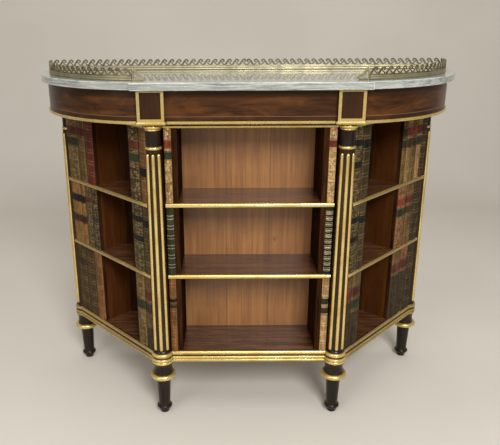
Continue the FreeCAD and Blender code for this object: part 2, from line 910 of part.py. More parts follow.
def build_carcass():
    save("base_board", base_board())
    save("base_band_upper", base_band(floor_z - upper_band_height, floor_z))
    save("base_band_lower", base_band(leg_height, leg_height + lower_band_height))
    save("carcass_top", carcass_top())
    save("cornice_strips", *three_strips(ceiling_z, ceiling_z + cornice_strip_height))
    back_y = centre_back_y + centre_back_thickness
    save("centre_back", *planks(partition_x, centre_plank_count, centre_back_y, back_y))
    save("rear_back", *planks(back_axis_x - panel_gap, rear_plank_count, rear_board_y, rear_y))
    edge_strips = []
    for level, top_z in (("lower", lower_shelf_z), ("upper", upper_shelf_z)):
        save("centre_shelf_" + level, centre_shelf(top_z))
        edge_strips += three_strips(top_z - shelf_thickness, top_z)
        for name, sign in sides:
            save(name + "_shelf_" + level, on_side(side_shelf(top_z), sign))
    save("shelf_edge_strips", *edge_strips)
    for name, sign in sides:
        save("partition_" + name, on_side(partition(), sign))
        save("niche_wall_" + name, on_side(niche_wall(), sign))
        save("niche_back_" + name, on_side(niche_back(), sign))


def build_spines():
    centre_end = centre_panel_x + centre_panel_width
    inner_end = panel_reach + inner_panel_width
    inner_shares = {"left": inner_left_shares, "right": inner_right_shares}
    outer_shares = {"left": outer_left_shares, "right": outer_right_shares}
    for name, sign in sides:
        panels = {
            "centre": spine_panel(front_plan, centre_panel_x, centre_end, centre_shares),
            "inner": spine_panel(cant_plan, panel_reach, inner_end, inner_shares[name]),
            "outer": spine_panel(cant_plan, niche_along, outer_panel_end, outer_shares[name]),
        }
        for place, rows in panels.items():
            save("spines_" + place + "_" + name, *[on_side(scribed(row), sign) for row in rows])


build_top()
build_frieze()
build_columns()
build_carcass()
build_spines()
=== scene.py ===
"""Dresses the side cabinet: finishes, gilding, turned work, false books, gallery, stage and camera."""

import math

import bmesh
import bpy
from bpy.props import FloatProperty, FloatVectorProperty, PointerProperty
from mathutils import Matrix, Vector
from mathutils.geometry import interpolate_bezier


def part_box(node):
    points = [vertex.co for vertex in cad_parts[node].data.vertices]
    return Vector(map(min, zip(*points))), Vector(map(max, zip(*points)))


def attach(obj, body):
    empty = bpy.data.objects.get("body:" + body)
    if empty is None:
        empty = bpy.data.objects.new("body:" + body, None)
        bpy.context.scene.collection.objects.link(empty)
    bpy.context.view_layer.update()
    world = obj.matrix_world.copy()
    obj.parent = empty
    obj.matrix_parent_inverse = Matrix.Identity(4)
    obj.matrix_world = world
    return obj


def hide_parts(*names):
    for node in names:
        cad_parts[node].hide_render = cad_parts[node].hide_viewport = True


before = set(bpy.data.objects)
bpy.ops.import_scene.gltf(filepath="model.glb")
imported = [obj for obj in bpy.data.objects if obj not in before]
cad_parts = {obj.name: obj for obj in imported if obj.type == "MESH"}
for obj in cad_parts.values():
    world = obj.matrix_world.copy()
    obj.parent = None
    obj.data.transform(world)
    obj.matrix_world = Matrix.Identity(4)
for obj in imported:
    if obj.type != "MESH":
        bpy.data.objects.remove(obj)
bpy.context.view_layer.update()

bl_info = {
    "name": "Side Cabinet",
    "version": (1, 0, 0),
    "blender": (4, 5, 0),
    "location": "View3D > Sidebar > Cabinet",
    "description": "Dresses the side cabinet with its finishes, gilding, gallery and false books",
    "category": "Object",
}

MM = 0.001
SIDES = (("left", -1), ("right", 1))
COLUMNS = ("front_left", "front_right", "back_left", "back_right")


def shade(red, green, blue):
    """A colour as it is seen on a screen, in parts of 255, for a colour setting."""
    def linear(part):
        part = part / 255
        return part / 12.92 if part < 0.04045 else ((part + 0.055) / 1.055) ** 2.4
    return (linear(red), linear(green), linear(blue))


# Settings that a user would change

def length(name, description, default):
    return FloatProperty(name=name, description=description, default=default, min=0.0, unit="LENGTH")


def colour(name, description, default):
    return FloatVectorProperty(
        name=name, description=description, default=default, size=3, min=0.0, max=1.0, subtype="COLOR",
    )


class CabinetSizes(bpy.types.PropertyGroup):
    reed_low: length("Reed radius, low", "Radius of a gilt reed at the foot of its column", 0.0046)
    reed_high: length("Reed radius, high", "Radius of a gilt reed at the top of its column", 0.0042)
    spine_crest: length("Spine crest", "How far a spine's middle stands out from its panel line", 0.0065)
    spine_valley: length("Spine joint", "How far the joints between spines stand out", 0.002)
    spine_back: length("Spine board back", "How far the board lies behind the panel line", 0.009)
    cant_step: length("Canted panel step", "How far a canted panel lies outside its column axes", 0.0135)
    panel_reach: length("Panel reach", "How near a canted panel comes to a column's axis", 0.009)
    band_width: length("Raised band", "Height of a raised band across a spine", 0.0048)
    band_rise: length("Raised band rise", "How far a raised band stands out of its spine", 0.0011)
    tooling: length("Tooled line", "Width of a gilt line tooled across a spine", 0.0011)
    arris: length("Marble arris", "Width of the eased edges of the marble slab", 0.0022)
    wave_pitch: length("Wave pitch", "Length of one wave of the gallery's scroll", 0.02)
    wave_plate: length("Scroll plate", "Thickness of the scroll's brass plate", 0.0018)


class CabinetColours(bpy.types.PropertyGroup):
    rosewood: colour("Rosewood", "Red-brown of the frieze veneer", shade(72, 41, 16))
    rosewood_dark: colour("Rosewood streaks", "Dark streaks in the frieze veneer", shade(42, 22, 7))
    ebony: colour("Dark wood", "Dark wood of the columns and legs", shade(39, 26, 15))
    bole: colour("Reed ground", "Brown ground between the gilt reeds", shade(50, 29, 13))
    shelf: colour("Shelf wood", "Polished wood of the shelves and walls", shade(108, 68, 40))
    shelf_dark: colour("Shelf streaks", "Darker grain of the shelves and walls", shade(50, 29, 17))
    niche: colour("Niche walls", "Brown of the walls and backs of the side niches", shade(84, 46, 18))
    board: colour("Back boards", "Brown of the planks behind the shelves", shade(168, 117, 68))
    board_dark: colour("Back board grain", "Darker grain and knots of the planks", shade(132, 86, 47))
    gilt: colour("Gilding", "Gold of the mouldings, reeds and rings", shade(226, 200, 126))
    gilt_worn: colour("Gilding, worn", "Brown ground where the gold is rubbed", shade(150, 122, 76))
    brass: colour("Brass", "Old brass of the gallery", shade(160, 150, 119))
    brass_dark: colour("Brass tarnish", "Tarnish of the gallery", shade(126, 116, 88))
    marble: colour("Marble", "Pale grey of the top", shade(169, 172, 164))
    marble_vein: colour("Marble veins", "Grey streaks in the top", shade(92, 97, 92))
    floor: colour("Floor", "Pale floor and backdrop", shade(204, 197, 185))


# Node groups and materials

def plug(tree, made, inputs):
    """Gives a node its inputs by name or place: a socket to link or a value to hold."""
    for key, value in inputs.items():
        if isinstance(value, bpy.types.NodeSocket):
            tree.links.new(value, made.inputs[key])
        else:
            made.inputs[key].default_value = value


class Nodes:
    """Adds nodes to one tree, with a short name for each kind of step."""

    def __init__(self, tree):
        self.tree = tree

    def add(self, kind, inputs=None, **settings):
        made = self.tree.nodes.new("ShaderNode" + kind)
        for key, value in settings.items():
            setattr(made, key, value)
        plug(self.tree, made, inputs or {})
        return made

    def math(self, operation, first, second=0.0, clamp=False):
        return self.add("Math", {0: first, 1: second}, operation=operation, use_clamp=clamp).outputs[0]

    def times(self, first, second):
        return self.math("MULTIPLY", first, second)

    def away(self, value, middle):
        """How far a value lies from a middle one."""
        return self.math("ABSOLUTE", self.math("SUBTRACT", value, middle))

    def ramp(self, value, low, high, start=0.0, end=1.0):
        """A value spread smoothly from start to end as it goes from low to high."""
        inputs = {"Value": value, "From Min": low, "From Max": high, "To Min": start, "To Max": end}
        return self.add("MapRange", inputs, interpolation_type="SMOOTHSTEP").outputs["Result"]

    def mix(self, factor, first, second):
        """A mix of two colours, each a socket or a colour setting."""
        inputs = {0: factor, 6: first, 7: second}
        for place in (6, 7):
            if not isinstance(inputs[place], bpy.types.NodeSocket):
                inputs[place] = (*inputs[place], 1.0)
        return self.add("Mix", inputs, data_type="RGBA", clamp_factor=True).outputs[2]

    def noise(self, vector, scale, detail=4.0, roughness=0.55, distortion=0.0):
        inputs = {"Scale": scale, "Detail": detail, "Roughness": roughness, "Distortion": distortion}
        return self.add("TexNoise", {"Vector": vector, **inputs}).outputs["Fac"]

    def cells(self, vector, scale, randomness=1.0):
        """How far a place lies from the middle of its cell."""
        inputs = {"Vector": vector, "Scale": scale, "Randomness": randomness}
        return self.add("TexVoronoi", inputs).outputs["Distance"]

    def stretch(self, vector, factors):
        return self.add("VectorMath", {0: vector, 1: factors}, operation="MULTIPLY").outputs[0]

    def along(self, vector, axis):
        return self.add("SeparateXYZ", {0: vector}).outputs[axis]


VALUE = "NodeSocketFloat"
VECTOR = "NodeSocketVector"


def shared(name, inputs, outputs):
    """Makes a builder into a node group with that name and those sockets, built on its first use."""
    def wrap(build):
        def group():
            if name in bpy.data.node_groups:
                return bpy.data.node_groups[name]
            tree = bpy.data.node_groups.new(name, "ShaderNodeTree")
            for label, kind in inputs.items():
                tree.interface.new_socket(name=label, in_out="INPUT", socket_type=kind)
            for label in outputs:
                tree.interface.new_socket(name=label, in_out="OUTPUT", socket_type=VALUE)
            entry = tree.nodes.new("NodeGroupInput")
            leave = tree.nodes.new("NodeGroupOutput")
            plug(tree, leave, dict(zip(outputs, build(Nodes(tree), entry.outputs))))
            return tree
        return group
    return wrap


@shared("Wood grain", {"Vector": VECTOR, "Stretch": VECTOR}, ("Figure", "Pores", "Height"))
def grain_group(nodes, entry):
    """Long figure, fine pores and a height for any wood, stretched along its grain."""
    stretched = nodes.stretch(entry["Vector"], entry["Stretch"])
    broad = nodes.noise(stretched, 1.0, 5.0, 0.6, 1.1)
    streaks = nodes.noise(stretched, 3.6, 6.0, 0.62, 0.4)
    figure = nodes.math("ADD", nodes.times(broad, 0.55), nodes.times(streaks, 0.45))
    figure = nodes.ramp(figure, 0.36, 0.66)
    pores = nodes.ramp(nodes.noise(stretched, 17.0, 3.0, 0.7), 0.55, 0.75)
    return figure, pores, nodes.math("SUBTRACT", nodes.times(figure, 0.4), pores)


@shared(
    "Wear and shade masks", {"Vector": VECTOR, "Radius": VALUE, "Patch Scale": VALUE},
    ("Edge", "Patches", "Hollow Shade", "Height"),
)
def wear_and_shade_group(nodes, entry):
    """Rubbed corners, blotchy patches, a mask of the hollows for painted shade, and a fine height."""
    rounded = nodes.add("Bevel", {"Radius": entry["Radius"]}, samples=4).outputs[0]
    plain = nodes.add("NewGeometry").outputs["Normal"]
    agree = nodes.add("VectorMath", {0: rounded, 1: plain}, operation="DOT_PRODUCT").outputs["Value"]
    patch = nodes.noise(entry["Vector"], entry["Patch Scale"], 5.0, 0.65, 0.3)
    edge = nodes.times(nodes.ramp(agree, 0.985, 0.86), nodes.ramp(patch, 0.38, 0.6))
    # Ambient occlusion marks the hollows, where finishes paint shade.
    open_to = nodes.add("AmbientOcclusion", {"Distance": 0.006}, samples=6).outputs["AO"]
    hollow_shade = nodes.ramp(open_to, 0.85, 0.4)
    return edge, nodes.ramp(patch, 0.55, 0.74), hollow_shade, nodes.noise(entry["Vector"], 900.0, 2.0, 0.6)


@shared("Dust", {"Vector": VECTOR, "Amount": VALUE}, ("Film",))
def dust_group(nodes, entry):
    """A thin grey film that lies on surfaces facing up, thicker in patches."""
    upward = nodes.ramp(nodes.along(nodes.add("NewGeometry").outputs["Normal"], "Z"), 0.3, 1.0)
    patch = nodes.ramp(nodes.noise(entry["Vector"], 9.0, 5.0, 0.6), 0.3, 0.75, 0.35, 1.0)
    return (nodes.times(nodes.times(upward, patch), entry["Amount"]),)


class Finish(Nodes):
    """A material in the making: its shader, the object's own coordinates and the colour so far."""

    def __init__(self, name):
        made = bpy.data.materials.new(name)
        made.use_nodes = True
        super().__init__(made.node_tree)
        self.shader = self.tree.nodes["Principled BSDF"]
        self.own = self.add("TexCoord").outputs["Object"]
        self.body = None

    def use(self, group, inputs):
        """The outputs of a shared group, on the object's own coordinates unless others are given."""
        return self.add("Group", {"Vector": self.own, **inputs}, node_tree=group).outputs

    # The wear masks, and the hollow mask for painted shade.
    def wear_and_shade(self, radius, patch_scale):
        return self.use(wear_and_shade_group(), {"Radius": radius, "Patch Scale": patch_scale})

    def dust(self, amount):
        return self.use(dust_group(), {"Amount": amount})["Film"]

    def lay(self, mask, tone, share=None):
        """Lays a colour over the colour so far where the mask is strong, whole or by a share."""
        self.body = self.mix(self.times(mask, share) if share else mask, self.body, tone)

    def wash(self, value, low, high, share, tone):
        """Lays a colour by up to a share as a value goes from low to high."""
        self.lay(self.ramp(value, low, high, 0.0, share), tone)

    def bump(self, height, strength, distance):
        inputs = {"Height": height, "Strength": strength, "Distance": distance}
        plug(self.tree, self.shader, {"Normal": self.add("Bump", inputs).outputs["Normal"]})

    def close(self, **inputs):
        """Gives the shader the colour so far and its other inputs."""
        plug(self.tree, self.shader, {"Base Color": self.body})
        plug(self.tree, self.shader, {key.replace("_", " "): value for key, value in inputs.items()})


def once(build):
    """Makes a builder into a finish: the material of that name, built on its first use."""
    def finish(name, *values, **more):
        if name not in bpy.data.materials:
            build(Finish(name), *values, **more)
        return bpy.data.materials[name]
    return finish


def toned(tint, factor, lift=0.0):
    """A colour made darker or paler."""
    return [min(1.0, part * factor + lift) for part in tint]


def colours():
    return bpy.context.scene.cabinet_colours


def sizes():
    return bpy.context.scene.cabinet_sizes


def wood_layers(paint, light, dark, stretch, polish, rough=(0.3, 0.5), dust=0.12, glare=0.3):
    """A polished wood: figure between two colours, dark pores, worn edges and a little dust."""
    grain = paint.use(grain_group(), {"Stretch": stretch})
    worn = paint.wear_and_shade(0.0012, 35.0)
    film = paint.dust(dust)
    paint.body = paint.mix(grain["Figure"], dark, light)
    paint.lay(grain["Pores"], toned(dark, 0.35), 0.45)
    paint.lay(worn["Edge"], toned(light, 1.7, 0.02), 0.55)
    paint.lay(film, shade(150, 140, 125))
    gloss = paint.ramp(worn["Patches"], 0.0, 1.0, *rough)
    gloss = paint.math("ADD", gloss, paint.times(film, 0.5), clamp=True)
    paint.close(Roughness=gloss, Specular_IOR_Level=glare, Coat_Weight=polish, Coat_Roughness=0.16)
    paint.bump(grain["Height"], 0.12, 0.0006)


wood = once(wood_layers)

VENEER_BORDER = 0.0175
BORDER_BLUR = 0.0006


@once
def veneer(paint, light, dark):
    """Frieze veneer: level grain, soft flames, a darker border and a thin pale line near its lower edge."""
    wood_layers(paint, light, dark, (3.5, 3.5, 45.0), 0.1, rough=(0.3, 0.44), dust=0.0, glare=0.18)
    flame = paint.noise(paint.stretch(paint.own, (9.0, 9.0, 30.0)), 1.0, 4.0, 0.6, 0.8)
    paint.wash(flame, 0.42, 0.72, 0.6, toned(light, 2.0))
    level = paint.along(paint.own, "Z")
    low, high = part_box("frieze_centre")
    low_line = low.z + VENEER_BORDER
    high_line = high.z - VENEER_BORDER
    below = paint.ramp(level, low_line + BORDER_BLUR, low_line)
    above = paint.ramp(level, high_line - BORDER_BLUR, high_line)
    paint.lay(paint.math("MAXIMUM", below, above), paint.mix(0.55, paint.body, dark))
    line = paint.ramp(paint.away(level, low_line), 0.0007, 0.0004)
    paint.lay(line, shade(160, 130, 92), 0.4)
    paint.close()


@once
def gilding(paint, light, ground, rubbed):
    """Water gilding on wood: tarnished in patches, dark in hollows from grime and painted shade, with painted
    shade on the canted sides and a painted highlight on its edges.
    """
    worn = paint.wear_and_shade(0.0008, 60.0)
    film = paint.dust(0.08)
    cloud = paint.noise(paint.own, 18.0, 4.0, 0.6)
    deep = [part * factor for part, factor in zip(light, (0.8, 0.72, 0.56))]
    paint.body = paint.mix(paint.ramp(cloud, 0.38, 0.7), light, deep)
    paint.lay(worn["Patches"], ground, 0.5)
    # Painted shade on the canted sides: the gilding goes toward its brown ground there.
    if rubbed:
        aside = paint.math("ABSOLUTE", paint.along(paint.own, "X"))
        paint.wash(aside, 0.25, 0.29, rubbed, ground)
    # Painted highlight on the edges.
    paint.lay(worn["Edge"], shade(252, 242, 204), 0.4)
    paint.lay(film, shade(180, 164, 128))
    # Grime and painted shade in the hollows.
    paint.lay(worn["Hollow Shade"], shade(74, 50, 24), 0.85)
    metal = paint.ramp(worn["Patches"], 0.0, 1.0, 0.75, 0.3)
    paint.close(Metallic=metal, Roughness=paint.ramp(cloud, 0.3, 0.7, 0.2, 0.34))
    paint.bump(worn["Height"], 0.04, 0.0004)


@once
def old_brass(paint, light, dark):
    """Old cast brass: rubbed bright on its corners with a painted highlight there, brown in patches, with
    painted shade in its hollows.
    """
    worn = paint.wear_and_shade(0.0006, 42.0)
    cloud = paint.noise(paint.own, 30.0, 5.0, 0.62)
    paint.body = paint.mix(paint.ramp(cloud, 0.4, 0.68), light, dark)
    # Rubbed bright corners, with a painted highlight on them.
    paint.lay(worn["Edge"], toned(light, 1.4, 0.04), 0.5)
    # Painted shade in the hollows.
    paint.lay(worn["Hollow Shade"], toned(light, 0.2), 0.7)
    paint.close(Metallic=0.7, Roughness=paint.ramp(cloud, 0.3, 0.75, 0.32, 0.5))
    paint.bump(worn["Height"], 0.1, 0.0004)


@once
def streaked_marble(paint, light, vein):
    """Polished grey marble: streaks that run along the slab, pale threads, small clouds and a painted
    highlight on its edges.
    """
    worn = paint.wear_and_shade(0.0022, 30.0)
    film = paint.dust(0.03)
    turned = paint.add("VectorRotate", {"Vector": paint.own, "Angle": 0.22}, rotation_type="Z_AXIS")
    drawn = paint.stretch(turned.outputs[0], (3.0, 22.0, 120.0))
    streak = paint.noise(drawn, 1.0, 8.0, 0.62, 1.6)
    fine = paint.noise(drawn, 4.2, 6.0, 0.65, 1.0)
    paint.body = paint.mix(paint.ramp(streak, 0.38, 0.66, 0.0, 0.8), light, vein)
    paint.wash(fine, 0.52, 0.74, 0.6, shade(86, 91, 87))
    thread = paint.away(paint.noise(drawn, 0.7, 6.0, 0.55, 2.2), 0.5)
    paint.wash(thread, 0.016, 0.002, 0.4, shade(216, 219, 212))
    # Painted highlight on the slab's edges.
    paint.lay(worn["Edge"], shade(244, 246, 238), 0.9)
    paint.lay(film, shade(168, 160, 146))
    paint.close(Roughness=paint.ramp(fine, 0.3, 0.7, 0.12, 0.22), Coat_Weight=0.8, Coat_Roughness=0.05)
    paint.bump(fine, 0.05, 0.0005)


@once
def planks(paint, light, dark):
    """Three upright softwood planks, each its own tone, with long grain, a few knots and soft stains."""
    low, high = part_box("centre_back")
    x = paint.along(paint.own, "X")
    across = paint.math("DIVIDE", paint.math("SUBTRACT", x, low.x), (high.x - low.x) / 3)
    number = paint.math("FLOOR", across)
    tone = paint.add("TexWhiteNoise", {"W": number}, noise_dimensions="1D").outputs["Value"]
    apart = {"X": x, "Y": paint.times(number, 3.7), "Z": paint.along(paint.own, "Z")}
    shift = paint.add("CombineXYZ", apart).outputs[0]
    grain = paint.use(grain_group(), {"Vector": shift, "Stretch": (75.0, 1.0, 2.2)})
    worn = paint.wear_and_shade(0.0012, 9.0)
    deep = toned(dark, 0.5)
    black = toned(dark, 0.25)
    paint.body = paint.mix(grain["Figure"], dark, light)
    paint.lay(tone, dark, 0.3)
    paint.wash(paint.noise(paint.own, 7.0, 3.0, 0.5), 0.45, 0.75, 0.35, deep)
    paint.lay(grain["Pores"], deep, 0.28)
    knot = paint.cells(paint.stretch(shift, (8.0, 1.0, 4.0)), 1.0)
    paint.wash(knot, 0.05, 0.015, 0.8, black)
    joint = paint.away(paint.math("FRACT", across), 0.5)
    paint.wash(joint, 0.49, 0.4975, 0.75, black)
    gloss = paint.ramp(worn["Patches"], 0.0, 1.0, 0.42, 0.56)
    paint.close(Roughness=gloss, Coat_Weight=0.15, Coat_Roughness=0.25)
    paint.bump(grain["Height"], 0.2, 0.0006)


@once
def leather(paint, hide, tooled=0.0):
    """Old book leather: mottled, streaked, worn pale at the joints with a painted highlight there, with small
    sprigs where it is tooled.
    """
    spine = paint.add("UVMap", uv_map="spine").outputs[0]
    worn = paint.wear_and_shade(0.001, 70.0)
    streak = paint.noise(paint.stretch(paint.own, (260.0, 260.0, 26.0)), 1.0, 4.0, 0.6, 0.5)
    mottle = paint.noise(paint.own, 150.0, 5.0, 0.7, 0.6)
    stain = paint.noise(paint.own, 22.0, 4.0, 0.6, 0.4)
    side = paint.away(paint.along(spine, "X"), 0.5)
    deep = toned(hide, 0.36)
    pale = toned(hide, 1.5, 0.02)
    paint.body = paint.mix(paint.ramp(stain, 0.34, 0.66, 0.0, 0.85), hide, deep)
    paint.wash(mottle, 0.44, 0.66, 0.8, deep)
    paint.wash(streak, 0.5, 0.66, 0.6, deep)
    paint.wash(streak, 0.44, 0.32, 0.5, pale)
    # Worn hinges and a painted highlight: paler near each spine's joints.
    joint = paint.times(paint.ramp(side, 0.34, 0.42), paint.ramp(stain, 0.35, 0.6))
    paint.lay(joint, pale, 0.4)
    paint.wash(side, 0.43, 0.49, 0.85, toned(deep, 0.3))
    paint.lay(worn["Edge"], pale, 0.4)
    if tooled:
        dot = paint.cells(paint.stretch(spine, (3.0, 150.0, 1.0)), 1.0, 0.6)
        ring = paint.ramp(paint.away(dot, 0.36), 0.12, 0.05)
        sprig = paint.math("MAXIMUM", ring, paint.ramp(dot, 0.16, 0.08))
        sprig = paint.times(sprig, paint.ramp(side, 0.44, 0.38))
        sprig = paint.times(sprig, paint.ramp(mottle, 0.36, 0.6, 0.2 * tooled, tooled))
        paint.lay(sprig, [0.4 * own + 0.6 * gold for own, gold in zip(pale, shade(222, 198, 140))])
    paint.close(Roughness=paint.ramp(mottle, 0.3, 0.7, 0.4, 0.62), Specular_IOR_Level=0.12)
    paint.bump(paint.cells(paint.own, 900.0), 0.12, 0.0003)


@once
def floor_paint(paint, tint):
    cloud = paint.noise(paint.own, 1.2, 3.0, 0.5)
    paint.body = paint.mix(paint.ramp(cloud, 0.35, 0.65), tint, toned(tint, 0.95))
    paint.close(Roughness=0.75)


def gilt_finish(rubbed=0.0):
    """Gilding, and how much painted shade darkens it on the canted sides."""
    name = "Rubbed gilding" if rubbed else "Worn gilding"
    return gilding(name, colours().gilt, colours().gilt_worn, rubbed)


def rail_finish():
    return old_brass("Old brass", colours().brass, toned(colours().brass, 0.74))


def scroll_finish():
    return old_brass("Tarnished brass", colours().brass_dark, toned(colours().brass_dark, 0.45))


TURNED_GRAIN = (60.0, 60.0, 5.0)


def dark_finish():
    tint = colours().ebony
    dark = toned(tint, 0.35)
    return wood("Dark turned wood", tint, dark, TURNED_GRAIN, 0.15, rough=(0.3, 0.46), dust=0.02, glare=0.2)


def bole_finish():
    tint = colours().bole
    dark = toned(tint, 0.45)
    return wood("Reed ground", tint, dark, TURNED_GRAIN, 0.1, rough=(0.36, 0.5), dust=0.0, glare=0.2)


def shelf_finish():
    light, dark = colours().shelf, colours().shelf_dark
    return wood("Polished shelf wood", light, dark, (4.5, 55.0, 55.0), 0.6, rough=(0.16, 0.3), dust=0.02)


# The shelf wood darkened to painted shade, for the partitions, the niche backs and the sides, backs and ends
# of the book spines.
def shaded_wall_finish():
    light = toned(colours().shelf, 0.3)
    dark = toned(colours().shelf_dark, 0.4)
    grain = (55.0, 55.0, 4.5)
    return wood("Dark wall wood", light, dark, grain, 0.0, rough=(0.6, 0.75), dust=0.0, glare=0.0)


def niche_finish():
    tint = colours().niche
    dark = toned(tint, 0.55)
    grain = (40.0, 40.0, 3.5)
    return wood("Niche wall wood", tint, dark, grain, 0.05, rough=(0.34, 0.5), dust=0.0, glare=0.2)


def block_finish():
    light = toned(colours().rosewood, 0.6)
    return wood("Rosewood block", light, colours().rosewood_dark, (45.0, 45.0, 6.0), 0.14, glare=0.2)


# Mesh helpers

def dress(material, *names):
    """Gives CAD nodes their finish."""
    for name in names:
        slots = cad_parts[name].data.materials
        slots.clear()
        slots.append(material)


def piece(name, mesh, body, slot, replaced, *materials, angle=35.0):
    """A new piece on its body, smooth apart from its sharp edges, in place of its CAD nodes."""
    data = bpy.data.meshes.new(name)
    bmesh.ops.recalc_face_normals(mesh, faces=mesh.faces)
    for face in mesh.faces:
        face.smooth = True
    mesh.to_mesh(data)
    mesh.free()
    data.set_sharp_from_angle(angle=math.radians(angle))
    made = bpy.data.objects.new(name, data)
    bpy.context.scene.collection.objects.link(made)
    for material in materials:
        data.materials.append(material)
    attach(made, body)
    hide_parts(*replaced)


def turn_on(mesh, x, y, outline, segments=56):
    """Turns an outline of heights and radii about an upright axis, closed at both ends."""
    turns = [2 * math.pi * i / segments for i in range(segments)]
    round_to = [(math.cos(turn), math.sin(turn)) for turn in turns]
    loft(mesh, [[(x + r * across, y + r * deep, z) for across, deep in round_to] for z, r in outline])


def half_round(z0, z1, inner, outer, steps=9):
    """Outline points of a round moulding that swells from inner to outer."""
    middle, half = (z0 + z1) / 2, (z1 - z0) / 2
    turns = [math.pi * i / steps for i in range(steps + 1)]
    return [(middle - half * math.cos(turn), inner + (outer - inner) * math.sin(turn)) for turn in turns]


def loft(mesh, rows):
    """Joins rows of points, each a closed ring, and caps the ends."""
    made = [[mesh.verts.new(point) for point in row] for row in rows]
    count = len(rows[0])
    for low, high in zip(made, made[1:]):
        for i in range(count):
            j = (i + 1) % count
            mesh.faces.new((low[i], low[j], high[j], high[i]))
    mesh.faces.new(made[0])
    mesh.faces.new(made[-1])


def axis_of(name):
    """The plan place of a column's axis."""
    low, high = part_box("column_" + name)
    return (low.x + high.x) / 2, (low.y + high.y) / 2


class Cant:
    """The line between the two column axes of one side, with its direction and outward normal."""

    def __init__(self, side, sign):
        self.sign = sign
        self.x, self.y = axis_of("front_" + side)
        back_x, back_y = axis_of("back_" + side)
        self.length = math.hypot(back_x - self.x, back_y - self.y)
        self.ux = (back_x - self.x) / self.length
        self.uy = (back_y - self.y) / self.length

    def point(self, along, outward):
        """A plan point by its place along the canted side and outward from it."""
        nx = self.uy * self.sign
        ny = -self.ux * self.sign
        return self.x + along * self.ux + outward * nx, self.y + along * self.uy + outward * ny


# Columns and legs, as outlines of height and radius in millimetres

SHAFT_OUTLINE = (
    (189.0, 24.5), (191.5, 24.5), (193.0, 23.9), (194.2, 22.4), (195.5, 22.0), (197.0, 22.6), (198.0, 23.0),
)
SHAFT_LOW = (198.0, 23.0)
SHAFT_HIGH = (740.5, 19.5)
SHAFT_SWELL = 0.3
NECK_OUTLINE = (
    (747.5, 18.9), (749.5, 18.4), (780.0, 18.3), (786.5, 18.3), (798.5, 18.3), (798.6, 22.0), (802.0, 22.0),
)
CAPITAL_OUTLINE = (
    (786.5, 18.2), (786.5, 19.4), (787.6, 20.0), (788.8, 19.7), (789.6, 20.4), (791.0, 22.3), (793.0, 23.7),
    (795.0, 24.4), (796.8, 24.4), (798.0, 23.8), (798.5, 22.6), (798.5, 18.2),
)
COLLAR_OUTLINE = (
    (157.0, 27.0), (154.5, 27.0), (152.6, 26.3), (150.0, 25.0), (146.0, 24.1), (140.0, 23.9), (134.0, 24.5),
    (129.0, 25.3), (126.0, 25.5), (124.0, 25.5), (111.0, 25.5), (110.9, 20.4), (108.0, 19.4), (104.0, 18.9),
)
SHANK_OUTLINE = ((66.0, 17.3), (26.0, 15.5), (23.6, 15.7), (22.4, 16.6))
TOE_OUTLINE = ((12.8, 16.6), (11.6, 15.2), (9.6, 14.2), (2.0, 12.8), (0.6, 12.4), (0.0, 12.5))
TOE_RING = (22.0, 13.0, 16.6, 20.5)
LEG_RING = (111.0, 124.0, 29.0, 34.5)
LEG_RING_BORE = 25.4
NECK_RING = (740.5, 747.5, 18.6, 21.0)
SHAFT_ROWS = 12
REED_SPAN = (198.0, 731.0)
REED_SUNK = 0.35
REED_TIP = (0.12, 0.5, 1.0, math.pi / 2)
REED_TURNS = {
    "front_left": (-135, -90, -45), "front_right": (-135, -90, -45),
    "back_left": (-135, 180, 135), "back_right": (-45, 0, 45),
}


def in_metres(outline):
    return [(z * MM, radius * MM) for z, radius in outline]


def shaft_radius(z):
    """The shaft's radius at a height, with its slight swell."""
    share = (z - SHAFT_LOW[0]) / (SHAFT_HIGH[0] - SHAFT_LOW[0])
    return SHAFT_LOW[1] + (SHAFT_HIGH[1] - SHAFT_LOW[1]) * share + SHAFT_SWELL * 4 * share * (1 - share)


